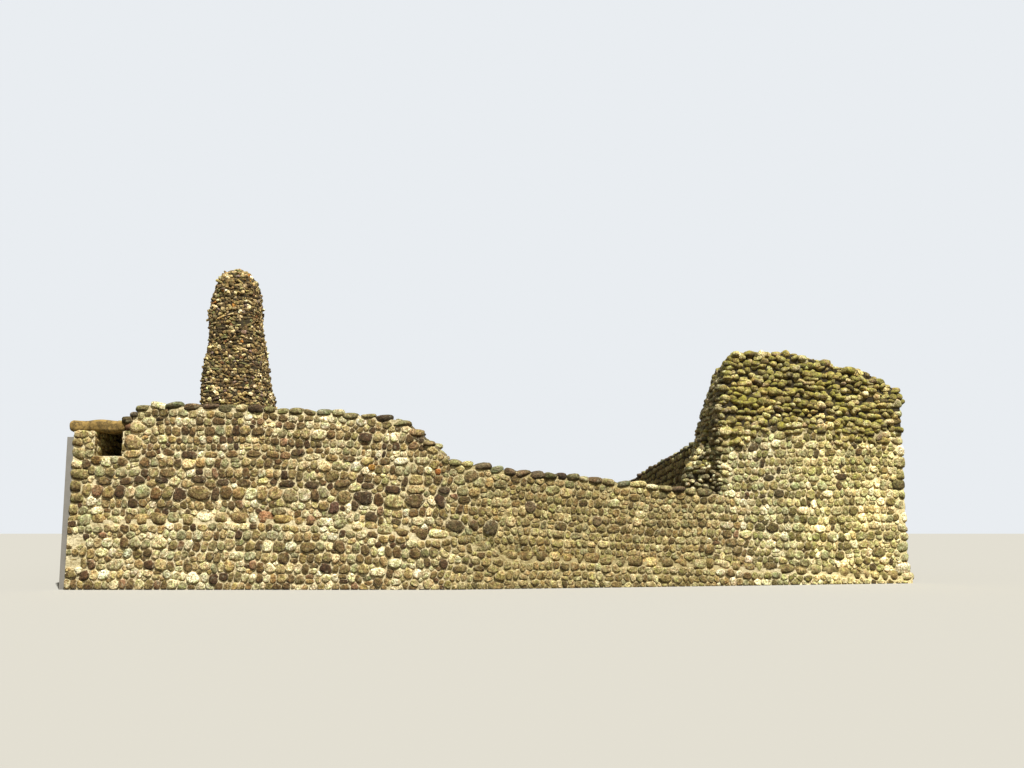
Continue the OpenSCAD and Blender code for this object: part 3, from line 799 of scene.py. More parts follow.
def fit_outlines(random, face, stones, sides, spread, joint):
    """The stones that fit, and their outlines, which leave a joint to each neighbour and keep to open cells.

    Spread says how far a stone grows past its own outline where no neighbour limits it.
    """
    keep = np.flatnonzero(face.look_up(stones["spot"], face.open, False))
    spot, half, lean, square = (stones[key][keep] for key in STONE_KEYS[:4])
    angle = np.linspace(0, 2 * np.pi, sides, endpoint=False)
    ray = np.stack([np.cos(angle), np.sin(angle)], 1)
    total = (spread * own_radius(half, lean, square, angle[None])) ** -SOFT
    for i in range(len(keep)):
        normal, limit = limits_around(spot, half, lean, square, i, joint)
        facing = ray @ normal.T
        total[i] += (np.where(facing > 0.08, np.maximum(facing, 0.08) / limit, 0.0) ** SOFT).sum(1)
    radius = total ** (-1 / SOFT)
    wobble = random.uniform(0, 2 * np.pi, (3, len(keep), 1))
    radius *= sum((size * np.sin(waves * angle + phase)
                   for size, waves, phase in zip((0.04, 0.045, 0.03), (2, 3, 5), wobble)), start=1)
    radius = clipped_to_open(face, spot, ray, radius)
    whole = (radius.min(1) > LEAST_RADIUS) & (radius.mean(1) > LEAST_MEAN_RADIUS)
    return keep[whole], radius[whole]


# Shapes of stones

# Share of the outline and of the relief at each ring of a bedded stone, from its bed to its middle
FINE_RINGS = ((1.0, 0.14), (0.93, 0.80), (0.56, 0.98))
PLAIN_RINGS = ((0.98, 0.22), (0.68, 0.84))
BED_DEPTH = 0.022  # how deep the rim of a bedded stone reaches into the mortar
USUAL_RADIUS = 0.072  # a stone of this size stands out by the usual relief
COLOUR_SPREAD = 0.13  # how much lighter or darker than its kind a stone usually is


def bedded_stones(random, seats, radius, relief, rings):
    """Stones that bulge out of a face: points, faces and how far each point is from the rim."""
    centres, across, up, out = (v[:, None, None] for v in seats)
    count, sides = radius.shape
    angle = np.linspace(0, 2 * np.pi, sides, endpoint=False)
    share, rise = (np.array(v)[None, :, None] for v in zip(*rings))
    size = radius.mean(1)[:, None, None]
    x, y = (radius[:, None] * share * turn(angle) for turn in (np.cos, np.sin))
    lean = random.normal(0, 0.34, (2, count, 1, 1))
    roof = np.maximum(random.uniform(0.70, 1.06, (count, 1, 1)) + (lean[0] * x + lean[1] * y) / size, 0.25)
    wobble = random.uniform(0, 2 * np.pi, (2, count, 1, 1))
    lumps = 1 + 0.13 * np.sin(x / size * 2.3 + wobble[0]) * np.cos(y / size * 2.1 + wobble[1])
    high = (np.maximum(rise, 0.01) ** -5.0 + roof ** -5.0) ** -0.2 * lumps * relief[:, None, None]
    bed_x, bed_y = (radius[:, None] * turn(angle) for turn in (np.cos, np.sin))
    x, y = np.concatenate([bed_x, x], 1), np.concatenate([bed_y, y], 1)
    high = np.concatenate([np.full((count, 1, sides), -BED_DEPTH), high], 1)
    points = centres + x[..., None] * across + y[..., None] * up + high[..., None] * out
    peak = np.minimum(roof.mean(axis=(1, 2)), 0.98) * relief
    middle = centres + peak[:, None, None, None] * out
    points = np.concatenate([points.reshape(count, -1, 3), middle.reshape(count, 1, 3)], 1)
    levels = len(rings) + 1
    around = [(i, (i + 1) % sides) for i in range(sides)]
    faces = [(r * sides + i, r * sides + j, (r + 1) * sides + j, (r + 1) * sides + i)
             for r in range(levels - 1) for i, j in around]
    last = (levels - 1) * sides
    faces += [(last + i, last + j, last + sides) for i, j in around]
    rim = np.concatenate([np.zeros(sides), np.repeat(1.02 - share.ravel(), sides), [1.0]])
    return points, faces, rim


def round_cube(cuts):
    """Directions and faces of a cube-shaped grid pushed onto a sphere."""
    points, index, faces = [], {}, []

    def corner(point):
        key = tuple(np.round(point, 6))
        if key not in index:
            index[key] = len(points)
            points.append(point)
        return index[key]

    line = np.tan(np.linspace(-1, 1, cuts + 1) * np.pi / 4)
    for axis in range(3):
        for side in (-1, 1):
            for i in range(cuts):
                for j in range(cuts):
                    ring = []
                    for a, b in ((i, j), (i + 1, j), (i + 1, j + 1), (i, j + 1)):
                        point = np.zeros(3)
                        point[axis], point[(axis + 1) % 3], point[(axis + 2) % 3] = side, line[a], line[b]
                        ring.append(corner(point))
                    faces.append(tuple(ring if side > 0 else ring[::-1]))
    return unit(np.array(points)), faces


def whole_stones(random, centres, frames, half, cuts, square=2.6, rough=0.07, split=0.8):
    """Whole stones: frames hold their axes as rows, split says how flat the cleaved sides are."""
    way, faces = round_cube(cuts)
    count = len(centres)
    square = square * random.uniform(0.88, 1.25, (count, 1))
    radius = (np.abs(way[None]) ** square[..., None]).sum(2) ** (-1 / square)
    for k, share in enumerate((1.0, 0.8, 0.5, 0.35)):
        turn = unit(random.normal(0, 1, (count, 3))) * (1.6 + 0.9 * k)
        phase = random.uniform(0, 2 * np.pi, (count, 1))
        radius = radius * (1 + rough * share * np.sin(turn @ way.T + phase))
    solid = way[None] * radius[..., None]
    for _ in range(2):
        side = unit(random.normal(0, 1, (count, 3)))
        over = np.maximum((solid * side[:, None]).sum(2) - random.uniform(0.62, 0.95, (count, 1)), 0)
        solid = solid - split * over[..., None] * side[:, None]
    return centres[:, None] + (solid * half[:, None]) @ frames, faces, 1.0


def loaf(random, centre, half, edge, cuts):
    """One long stone with its edges and ends rounded alike, and a little uneven."""
    way, faces = round_cube(cuts)
    box = way / np.abs(way).max(1)[:, None] * half
    core = np.clip(box, edge - half, half - edge)
    points = core + unit(box - core) * edge
    for length in (0.5, 0.23, 0.11):
        wave = unit(random.normal(0, 1, 3)) * 2 * np.pi / length
        swell = np.sin(points @ wave + random.uniform(0, 7)) * length * 0.018
        points = points + unit(box - core) * swell[:, None]
    return (centre + points)[None], faces, 1.0


def turned(random, count, across, up, degrees):
    """Frames about two given axes, each turned at random by a few degrees."""
    jitter = math.radians(degrees)
    across = unit(across + random.normal(0, jitter, (count, 3)))
    up = up + random.normal(0, jitter, (count, 3))
    up = unit(up - (up * across).sum(1)[:, None] * across)
    return np.stack([across, np.cross(up, across), up], 1)


def pick_colours(random, kinds, count, spread=COLOUR_SPREAD):
    """Linear colours drawn from a stone mix, each a little lighter, darker, warmer or cooler."""
    colours = np.array([linear(code)[:3] for code, _ in kinds])
    shares = np.array([share for _, share in kinds])
    picked = colours[random.choice(len(kinds), count, p=shares / shares.sum())]
    shade = np.exp(random.normal(0, spread, (count, 1)))
    warmth = random.normal(0, 0.03, (count, 1)) * np.array([1.0, 0.1, -1.0])
    blush = random.normal(0, 0.018, (count, 1)) * np.array([0.8, -0.5, 0.4])
    return np.clip(picked * shade * (1 + warmth + blush), 0.01, 0.9)


def linked(name, data):
    """An object of the scene with some data."""
    thing = bpy.data.objects.new(name, data)
    bpy.context.scene.collection.objects.link(thing)
    return thing


class Pile:
    """Stones gathered for one piece, and the mesh that they make."""

    def __init__(self):
        self.batches = []

    def add(self, shape, colours):
        """Add a batch of stones of one build, as points, faces and how far each point is from the rim."""
        points, faces, rim = shape
        if len(points):
            self.batches.append((points, faces, rim, colours))

    def lay(self, random, stones, kinds, spread, cuts, square, rough, split=0.8):
        """Add whole stones in the colours of a mix, and take their footprints out of the faces."""
        Keep.ready().claim(*stones)
        shape = whole_stones(random, *stones, cuts, square, rough, split)
        self.add(shape, pick_colours(random, kinds, len(stones[0]), spread))

    def make(self, name, finish, slot, rounded=True):
        """One mesh object of all the stones."""
        points, loops, totals, tints, rims = [], [], [], [], []
        base = 0
        for batch, faces, rim, colours in self.batches:
            stones, each = batch.shape[:2]
            corners = np.concatenate([np.array(f) for f in faces])
            loops.append((corners[None] + base + np.arange(stones)[:, None] * each).ravel())
            totals.append(np.tile([len(f) for f in faces], stones))
            points.append(batch.reshape(-1, 3))
            tints.append(np.repeat(colours, each, 0))
            rims.append(np.broadcast_to(rim, (stones, each)).ravel())
            base += stones * each
        points, loops, totals = (np.concatenate(v) for v in (points, loops, totals))
        mesh = bpy.data.meshes.new(name)
        mesh.vertices.add(len(points))
        mesh.vertices.foreach_set("co", points.astype(np.float32).ravel())
        mesh.loops.add(len(loops))
        mesh.loops.foreach_set("vertex_index", loops.astype(np.int32))
        mesh.polygons.add(len(totals))
        mesh.polygons.foreach_set("loop_start", (np.cumsum(totals) - totals).astype(np.int32))
        mesh.polygons.foreach_set("loop_total", totals.astype(np.int32))
        mesh.polygons.foreach_set("use_smooth", np.full(len(totals), rounded))
        colour = np.concatenate([np.concatenate(tints), np.ones((len(points), 1))], 1)
        mesh.attributes.new("stone_tint", "FLOAT_COLOR", "POINT").data.foreach_set(
            "color", colour.astype(np.float32).ravel())
        mesh.attributes.new("stone_rim", "FLOAT", "POINT").data.foreach_set(
            "value", np.concatenate(rims).astype(np.float32))
        mesh.update()
        mesh.materials.append(finish)
        piece = linked(name, mesh)
        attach(piece, "root")
        print(name, "stones:", sum(len(b[0]) for b in self.batches), "triangles:", int((totals - 2).sum()))
        return piece


# Materials

# Sizes of the patterns in mm, with their detail and roughness. Mineral grains, pits, sand and specks of
# lime measure 1 to 10 mm and don't show from 16 m, so mottle, speckle, pits, lumps, sand and grain are drawn
# as coarse as they need to show. The others have their real size.
PATTERNS = {
    "fieldstone": {
        "clouds": (130, 4, 0.65), "hues": (75, 3, 0.6), "mottle": (52, 3, 0.7), "speckle": (27, 2, 0.85),
        "smears": (40, 3, 0.55), "lichen": (85, 5, 0.65), "pits": (50, 4, 0.7),
    },
    "mortar": {"clouds": (700, 4, 0.6), "lumps": (48, 5, 0.7), "sand": (20, 2, 0.8)},
    "front": {"drift": (500, 4, 0.65), "stains": (900, 5, 0.7)},
    "moss": {"patches": (420, 5, 0.7), "tufts": (60, 4, 0.75), "thin": (90, 3, 0.7)},
    "zinc": {"streaks": (160, 4, 0.6)},
    "sandstone": {"clouds": (130, 5, 0.65), "grain": (18, 3, 0.75)},
}
SPANGLE_MM = 14  # width of a zinc crystal; real ones can be half as wide, which wouldn't show on the post
MINERAL_IOR = 1.45  # stone and mortar; the metal keeps the default


def add(tree, kind, values=None, **settings):
    """A shader node with its settings, its inputs set or linked. A node as a value is its first output."""
    node = tree.nodes.new(kind)
    for key, value in settings.items():
        setattr(node, key, value)
    for key, value in (values or {}).items():
        source = value.outputs[0] if isinstance(value, bpy.types.Node) else value
        if isinstance(source, bpy.types.NodeSocket):
            tree.links.new(source, node.inputs[key])
        else:
            node.inputs[key].default_value = source
    return node


def shaded(colour, share):
    """A colour made darker or lighter, as far as white."""
    return (*(min(1.0, c * share) for c in colour[:3]), 1.0)


def cleared_tree(owner):
    """The shader tree of a material or world, without any node."""
    owner.use_nodes = True
    owner.node_tree.nodes.clear()
    return owner.node_tree


def new_material(name, *kinds):
    """A material, its tree, and by name what its look follows: the kinds' patterns, place and facing."""
    material = bpy.data.materials.new(name)
    tree = cleared_tree(material)
    place = add(tree, "ShaderNodeTexCoord").outputs["Object"]
    normal = add(tree, "ShaderNodeNewGeometry").outputs["Normal"]
    follows = {"place": place, "facing": add(tree, "ShaderNodeSeparateXYZ", {"Vector": normal}).outputs}
    for kind in kinds:
        for pattern, (size_mm, detail, rough) in PATTERNS[kind].items():
            follows[pattern] = add(tree, "ShaderNodeTexNoise", {
                "Vector": place, "Scale": 1000.0 / size_mm, "Detail": detail, "Roughness": rough})
    return material, tree, follows


def layered(tree, ground, *layers):
    """Colours laid over a ground one after another, each as far as its limits let it show.

    A layer is a colour, or three factors that tint the ground, and its limits. A limit is (pattern, low,
    high), with the shares at low and at high after them where they aren't 0 and 1, and limits multiply.
    """
    colour = ground
    for tint, *limits in layers:
        if isinstance(tint, tuple) and len(tint) == 3:
            tint = add(tree, "ShaderNodeMix", {0: 1.0, 6: ground, 7: (*tint, 1.0)},
                       data_type="RGBA", blend_type="MULTIPLY").outputs[2]
        share = None
        for pattern, low, high, *ends in limits:
            least, most = ends or (0.0, 1.0)
            limit = add(tree, "ShaderNodeMapRange", {
                "Value": pattern, "From Min": low, "From Max": high, "To Min": least, "To Max": most})
            both = {0: share, 1: limit}
            share = add(tree, "ShaderNodeMath", both, operation="MULTIPLY") if share else limit
        colour = add(tree, "ShaderNodeMix", {0: share or 1.0, 6: colour, 7: tint},
                     data_type="RGBA").outputs[2]
    return colour


def surfaced(tree, values, *reliefs):
    """The surface shader, with relief in layers of (pattern, depth in metres, strength)."""
    relief = {}
    for pattern, depth, strength in reliefs:
        relief = {"Normal": add(tree, "ShaderNodeBump", {
            "Height": pattern, "Distance": depth, "Strength": strength, **relief})}
    surface = add(tree, "ShaderNodeBsdfPrincipled", {**values, **relief})
    add(tree, "ShaderNodeOutputMaterial", {"Surface": surface})


def mossy(tree, follows, colour, amount):
    """Moss and algae in tufts and patches half a metre wide, heavier on what faces the sky."""
    moss = tuple(bpy.context.scene.keep_colours.moss)
    patches = add(tree, "ShaderNodeMath", {0: follows["facing"]["Z"], 1: 0.14, 2: follows["patches"]},
                  operation="MULTIPLY_ADD")
    # the tufts are a lit and a shaded copy of the moss colour, laid at random: painted highlight and painted
    # shade
    growth = layered(tree, shaded(moss, 0.5), (shaded(moss, 1.45), (follows["tufts"], 0.44, 0.56)))
    most = min(0.85, amount * 1.3)
    return layered(tree, colour, (growth, (patches, 0.66 - 0.26 * amount, 0.76 - 0.20 * amount, 0.0, most),
                                  (follows["thin"], 0.40, 0.58, 0.35, 1.0)))


def fieldstone(name, moss, lichen, smear, painted_highlight=0.7):
    """Water-worn and split fieldstone: dull, speckled, chalky at its joints, with lichen and moss."""
    colours = bpy.context.scene.keep_colours
    material, tree, follows = new_material(name, "fieldstone", "moss")
    clouds, hues, mottle, speckle = (follows[key] for key in ("clouds", "hues", "mottle", "speckle"))
    tint = add(tree, "ShaderNodeAttribute", attribute_name="stone_tint").outputs["Color"]
    rim = add(tree, "ShaderNodeAttribute", attribute_name="stone_rim").outputs["Fac"]
    sky = follows["facing"]["Z"]
    ragged = add(tree, "ShaderNodeMath", {0: follows["smears"], 1: 0.8, 2: rim}, operation="MULTIPLY_ADD")
    # light and dark clouds of the mineral, some of them olive and some rosy
    colour = layered(tree, tint, ((0.64, 0.57, 0.42),), ((1.28, 1.28, 1.24), (clouds, 0.38, 0.62)))
    colour = layered(tree, colour, ((0.94, 1.03, 0.78), (hues, 0.48, 0.38)),
                     ((1.09, 0.95, 0.90), (hues, 0.52, 0.62)))
    # dark and bright blotches, and a finer speckle of both
    blotch, bright = (0.42, 0.33, 0.19), (2.0, 2.05, 2.2)
    colour = layered(tree, colour,
                     (blotch, (mottle, 0.46, 0.36, 0.0, 0.9)), (bright, (mottle, 0.54, 0.66, 0.0, 0.9)),
                     (blotch, (speckle, 0.46, 0.39, 0.0, 0.85)), (bright, (speckle, 0.54, 0.61, 0.0, 0.85)))
    # undersides are painted dark as painted shade, what faces up is painted lighter as a painted highlight,
    # mortar from the pointing trowel sticks to the edges, painted shade sits in patches in the joint under
    # the foot, and lichen grows in spots of a coin to a palm
    painted_shade = (0.38, 0.29, 0.15)
    colour = layered(tree, colour,
                     (painted_shade, (sky, -0.18, -0.55, 0.0, 0.85)),
                     ((1.5, 1.53, 1.62), (sky, 0.25, 0.7, 0.0, painted_highlight)),
                     (tuple(colours.mortar), (ragged, 0.37, 0.52, smear, 0.0)),
                     (painted_shade, (rim, 0.13, 0.04), (sky, 0.1, -0.35), (clouds, 0.40, 0.54, 0.4, 1.0)),
                     (tuple(colours.lichen), (follows["lichen"], 0.60, 0.66, 0.0, lichen)))
    worn = add(tree, "ShaderNodeMapRange", {
        "Value": clouds, "From Min": 0.2, "From Max": 0.8, "To Min": 0.72, "To Max": 0.92})
    values = {"Base Color": mossy(tree, follows, colour, moss), "Roughness": worn, "IOR": MINERAL_IOR}
    surfaced(tree, values, (follows["pits"], 0.032, 1.0), (speckle, 0.018, 0.9))
    return material


def aged_front(tree, follows, shade):
    """The front's mortar: grey on the low wall, painted lighter on the right of the corner mass as painted
    sunlight, and the dark core, washed out mortar darkened further as painted shade, under the crown and
    where it is torn.
    """
    colours = bpy.context.scene.keep_colours
    old, core = tuple(colours.old_mortar), tuple(colours.core)
    at = add(tree, "ShaderNodeSeparateXYZ", {"Vector": follows["place"]}).outputs
    drift = add(tree, "ShaderNodeMath", {0: follows["drift"], 1: 1.2, 2: -0.6}, operation="MULTIPLY_ADD")
    east, high = (add(tree, "ShaderNodeMath", {0: at[axis], 1: drift}, operation="ADD") for axis in "XZ")
    torn = (follows["facing"]["Y"], -0.93, -0.86)
    by_stub = (at["X"], STUB_X - 0.6, STUB_X - 0.4)
    shade = layered(tree, shade, (old, (follows["stains"], 0.44, 0.54, 0.5, 0.0)),
                    (old, (east, *DULL_X), (east, STUB_X, MASS_X, 1, 0)), (old, torn))
    # the mortar on the right of the corner mass is painted lighter as painted sunlight, and the core under
    # the crown and where the stub is torn is dark washed out mortar, darkened further as painted shade
    return layered(tree, shade, ((1.12, 1.1, 0.95), (at["X"], *SUNLIT_MASS_X)),
                   (core, (high, *BARE_Z), by_stub), (core, torn, by_stub))


def mortar(name, tone_name, grime, moss, wall=None):
    """Thrown and trowelled lime mortar with pit sand: pale, grainy, streaked with grime."""
    colours = bpy.context.scene.keep_colours
    colour = tuple(getattr(colours, tone_name))
    material, tree, follows = new_material(name, "mortar", "moss", *(["front"] if wall == "front" else []))
    lumps, sand = follows["lumps"], follows["sand"]
    shade = layered(tree, shaded(colour, 0.88), (shaded(colour, 1.1), (follows["clouds"], 0.36, 0.64)))
    if wall == "east":
        # the inside face, which faces west, keeps the dark washed out core colour as painted shade for a face
        # in shade; the other faces get the old mortar
        shade = layered(tree, shade, (tuple(colours.old_mortar), (follows["facing"]["X"], -0.6, -0.3)))
    if wall == "front":
        shade = aged_front(tree, follows, shade)
    limy, grimy = (1.45, 1.48, 1.55), (0.46, 0.38, 0.25)
    shade = layered(tree, shade, (limy, (lumps, 0.46, 0.36, 0.0, 0.8)),
                    (grimy, (lumps, 0.51, 0.62, 0.0, grime)), (grimy, (sand, 0.5, 0.7, 0.0, 0.5)))
    values = {"Base Color": mossy(tree, follows, shade, moss), "Roughness": 0.95, "IOR": MINERAL_IOR}
    surfaced(tree, values, (lumps, 0.035, 0.9), (sand, 0.005, 0.7))
    return material


def zinc_coat(name):
    """Hot-dip zinc on steel: matt grey with a faint spangle and dull streaks."""
    steel = tuple(bpy.context.scene.keep_colours.steel)
    material, tree, follows = new_material(name, "zinc")
    streaks = follows["streaks"]
    crystals = add(tree, "ShaderNodeTexVoronoi", {"Vector": follows["place"], "Scale": 1000.0 / SPANGLE_MM})
    grey = add(tree, "ShaderNodeSeparateColor", {"Color": crystals.outputs["Color"]})
    colour = layered(tree, steel, (shaded(steel, 0.7), (grey, 0, 1, 0.0, 0.25)),
                     (shaded(steel, 0.6), (streaks, 0.45, 0.7, 0.0, 0.4)))
    dulled = add(tree, "ShaderNodeMapRange", {
        "Value": streaks, "From Min": 0.3, "From Max": 0.7, "To Min": 0.42, "To Max": 0.6})
    surfaced(tree, {"Base Color": colour, "Roughness": dulled, "Metallic": 0.2}, (streaks, 0.0006, 0.4))
    return material


def split_sandstone(name):
    """Split sandstone: even sand grain, iron-brown clouding, softly rounded by weather."""
    base = tuple(bpy.context.scene.keep_colours.lintel)
    material, tree, follows = new_material(name, "sandstone", "moss")
    clouds, grain = follows["clouds"], follows["grain"]
    colour = layered(tree, shaded(base, 1.2), (shaded(base, 0.36), (clouds, 0.44, 0.55)),
                     (shaded(base, 1.6), (grain, 0.5, 0.6, 0.0, 0.5)))
    values = {"Base Color": mossy(tree, follows, colour, 0.35), "Roughness": 0.88, "IOR": MINERAL_IOR}
    surfaced(tree, values, (clouds, 0.014, 0.6), (grain, 0.004, 0.5))
    return material


# What makes each finish, with the shares of moss, lichen, smeared mortar and a painted highlight on what
# faces up for stone, and the colour, the shares of grime and moss and the wall for mortar
FINISHES = {
    "sunlit_fieldstone": (fieldstone, 0.0, 0.35, 0.75),
    "weathered_fieldstone": (fieldstone, 0.15, 0.4, 0.6, 0.3),
    "mossy_rubble": (fieldstone, 0.72, 0.4, 0.0),
    "shaded_fieldstone": (fieldstone, 0.4, 0.3, 0.1),
    "river_cobbles": (fieldstone, 0.1, 0.3, 0.1, 0.35),
    "front_lime_mortar": (mortar, "mortar", 0.6, 0.0, "front"),
    "old_lime_mortar": (mortar, "old_mortar", 0.7, 0.12),
    "east_lime_mortar": (mortar, "core", 0.8, 0.2, "east"),
    "washed_core": (mortar, "core", 0.8, 0.3),
    "hot_dip_zinc": (zinc_coat,),
    "split_sandstone": (split_sandstone,),
}


def finish_named(name):
    """Each material is made at its first use and shared after that."""
    maker, *settings = FINISHES[name]
    return bpy.data.materials.get(name) or maker(name, *settings)


# Operators

FRONT_EDGE, OUTER_EDGE, INNER_EDGE = 0.065, 0.13, 0.09  # how far in from the faces the coping rows lie


class KEEP_OT_mortar(bpy.types.Operator):
    """Finish the solids as lime mortar, washed core darkened as painted shade, and zinc-coated steel"""

    bl_idname = "keep.mortar"
    bl_label = "Mortar and Post"

    def execute(self, context):
        for name, node in frame["nodes"].items():
            if name == "steel_post":
                finish = "hot_dip_zinc"
            elif name in (*PILLAR, *BROKEN):
                finish = "washed_core"
            elif name.startswith("east_"):
                finish = "east_lime_mortar"
            elif WALL_OF[name].startswith("front"):
                finish = "front_lime_mortar"
            else:
                finish = "old_lime_mortar"
            node.data.materials.clear()
            node.data.materials.append(finish_named(finish))
        return {"FINISHED"}


def edge_row(random, name, depth, sizes):
    """Whole cobbles along a wall top at one depth, each lying level on the solid under it."""
    wall = WALLS[name]
    spots, longs = [], []
    usual = sizes.coping_length
    for at, long in end_to_end(0.0, wall.length + 0.5, lambda: usual * random.uniform(0.74, 1.28)):
        middle = at + long / 2
        found = [SOLID.hit_from_above(wall.place(middle + shift * long, depth)) for shift in (-0.45, 0, 0.45)]
        if any(f is None or f[1][2] < 0.3 or WALL_OF[f[2]] != name for f in found):
            continue
        node = found[1][2]
        if "coping" in node or node in BARE_TOPS:
            plan = wall.place(middle, depth + random.normal(0, 0.008))
            spots.append((*plan, sum(f[0][2] for f in found) / 3))
            longs.append(long)
    count = len(spots)
    half = np.stack([np.array(longs) / 2 * 1.10, random.uniform(0.105, 0.14, count),
                     sizes.coping_height / 2 * random.uniform(0.9, 1.2, count)], 1)
    centres = np.array(spots).reshape(-1, 3)
    centres[:, 2] += 0.055 - half[:, 2] + random.normal(0, 0.007, count)
    return centres, turned(random, count, wall.ahead, UP, 5), half


class KEEP_OT_coping(bpy.types.Operator):
    """Set a row of big cobbles along both edges of every wall top"""

    bl_idname = "keep.coping"
    bl_label = "Coping Stones"

    def execute(self, context):
        sizes = context.scene.keep_stones
        random = np.random.default_rng(SEED + 1)
        for name, wall in WALLS.items():
            pile = Pile()
            for depth in (FRONT_EDGE if name.startswith("front") else OUTER_EDGE, wall.thick - INNER_EDGE):
                cuts = 4 if depth == FRONT_EDGE else 3
                pile.lay(random, edge_row(random, name, depth, sizes), COPING_STONES, 0.2, cuts, 2.9, 0.09)
            pile.make("coping_stones_" + name, finish_named("river_cobbles"), "coping_fieldstone")
        return {"FINISHED"}


def ledge_row(random, name, step):
    """Long flat stones along the ledge where a wall stands on its footing."""
    wall = WALLS[name]
    stones = []
    for at, long in end_to_end(0.12, wall.length - 0.12, lambda: random.uniform(0.13, 0.32)):
        tall = random.uniform(0.15, 0.20)
        middle = at + long / 2
        found = SOLID.hit_from_above(wall.place(middle, -step / 2))
        if found and found[2].startswith("footing"):
            spot = wall.place(middle, 0.075 - step)
            stones.append(((*spot, found[0][2] + random.normal(0, 0.012)), (long / 2 * 1.03, 0.10, tall / 2)))
    centres, half = (np.array(v) for v in zip(*stones))
    return centres, turned(random, len(stones), wall.ahead, UP, 4), half


class KEEP_OT_plinth(bpy.types.Operator):
    """Set a course of long stones along the ledge of the footings"""

    bl_idname = "keep.plinth"
    bl_label = "Plinth Course"

    def execute(self, context):
        random = np.random.default_rng(SEED + 8)
        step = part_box("west_wall_low")[0][0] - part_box("footing_west")[0][0]
        pile = Pile()
        for name in WALLS:
            kinds = SUNNY_STONES if name == "front_west" else DULL_STONES
            pile.lay(random, ledge_row(random, name, step), kinds, 0.2, 3, 2.9, 0.08)
        pile.make("plinth_stones", finish_named("weathered_fieldstone"), "footing_rubble")
        return {"FINISHED"}


def corner_stones(random, first, second, top, proud):
    """Stones up the corner between two walls, long ones by turns along each, up to a height."""
    stones = []
    for z, tall in end_to_end(0.0, top - 0.1, lambda: random.uniform(0.13, 0.20)):
        middle = z + tall / 2
        beside = (*(second.start + second.along * 0.06 - second.inward), middle)
        found = SOLID.hit(beside, (*second.inward, 0.0))
        if found is None or np.linalg.norm(found[0] - beside) > 1.1:
            continue
        long, short = random.uniform(0.11, 0.15), random.uniform(0.075, 0.10)
        size = (short, long) if len(stones) % 2 else (long, short)
        plan = second.start + second.along * (size[0] - proud) - first.along * (size[1] - 0.045)
        stones.append(((*plan, middle), (*size, tall / 2 * 1.05)))
    centres, half = (np.array(v) for v in zip(*stones))
    return centres, turned(random, len(centres), second.ahead, UP, 3), half


class KEEP_OT_quoins(bpy.types.Operator):
    """Set big stones up every free corner, turned by turns along each face"""

    bl_idname = "keep.quoins"
    bl_label = "Quoins"

    def execute(self, context):
        random = np.random.default_rng(SEED + 2)
        pile = Pile()
        for before, after, node, below_top, proud, kinds in (
                ("west", "front_west", "corner_pier", 0.0, 0.02, DULL_STONES),
                ("front_east", "east", "corner_crown", 0.7, 0.03, PALE_STONES),
                ("east", "back", "back_wall_east", 0.1, 0.03, DULL_STONES),
                ("back", "west", "back_wall_west", 0.2, 0.03, DULL_STONES)):
            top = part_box(node)[1][2] - below_top
            stones = corner_stones(random, WALLS[before], WALLS[after], top, proud)
            pile.lay(random, stones, kinds, COLOUR_SPREAD, 4, 3.3, 0.06, 0.6)
        pile.make("quoin_stones", finish_named("sunlit_fieldstone"), "fieldstone_masonry")
        return {"FINISHED"}


# Stones that hold the lintel's hidden end: (station, height, width, own height, colour)
HOLDING_STONES = [
    (0.85, 2.61, 0.13, 0.10, "#6f6a55"), (0.83, 2.505, 0.10, 0.12, "#7d5a44"),
    (0.92, 2.70, 0.15, 0.10, "#5c5245"),
]


class KEEP_OT_lintel(bpy.types.Operator):
    """Shape the long yellow-brown stone over the window slot, and lay the stones that hold its end"""

    bl_idname = "keep.lintel"
    bl_label = "Window Lintel"

    def execute(self, context):
        random = np.random.default_rng(SEED + 3)
        low, high = (np.array(c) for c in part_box("window_lintel_outer"))
        pile = Pile()
        stone = loaf(random, (low + high) / 2, (high - low) / 2 * (0.98, 1.05, 1.06), 0.062, 26)
        pile.add(stone, np.ones((1, 3)))
        piece = pile.make("lintel_stone", finish_named("split_sandstone"), "yellow_brown_sandstone")
        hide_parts("window_lintel_outer")
        wall = WALLS["front_west"]
        at, height, wide, tall = (np.array(v) for v in list(zip(*HOLDING_STONES))[:4])
        count = len(at)
        half = np.stack([wide / 2, np.full(count, 0.1), tall / 2], 1)
        centres = np.column_stack([wall.place(at, np.full(count, 0.05)), height])
        frames = turned(random, count, wall.ahead, UP, 4)
        Keep.ready().claim(centres, frames, half)
        pile = Pile()
        pile.add(whole_stones(random, centres, frames, half, 4, 2.8),
                 np.array([linear(stone[4])[:3] for stone in HOLDING_STONES]))
        pile.make("lintel_holding_stones", finish_named("river_cobbles"), "fieldstone_masonry")
        return {"FINISHED"}


def owned_row(face, height, names):
    """Face coordinates across of the open cells of some nodes at one height."""
    row = np.array([[s, height] for s in np.arange(face.low[0], face.high[0], CELL)])
    owner = face.look_up(row, np.where(face.open, face.owner, -1), -1)
    return row[np.isin(owner, np.flatnonzero(np.isin(SOLID.names, names))), 0]


def edge_column(random, face):
    """Squarish stones up the clean edge where the front's skin has broken off."""
    spots, sizes = [], []
    low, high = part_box("stub_body")[0][2] + 0.04, CROWN_Z - 0.05
    for k, z in enumerate(np.arange(low, high, 0.122)):
        row = owned_row(face, z + 0.06, ("stub_body",))
        if len(row):
            wide = (0.095 if k % 2 else 0.078) * random.uniform(0.92, 1.1)
            spots.append((row[0] + wide - 0.015, z + 0.06))
            sizes.append((wide, 0.11, 0.062 * random.uniform(0.92, 1.05)))
    points, across, up, out = face.seat(np.array(spots))
    half = np.array(sizes)
    return points - out * (half[:, 1:2] - 0.04), turned(random, len(half), across, up, 4), half


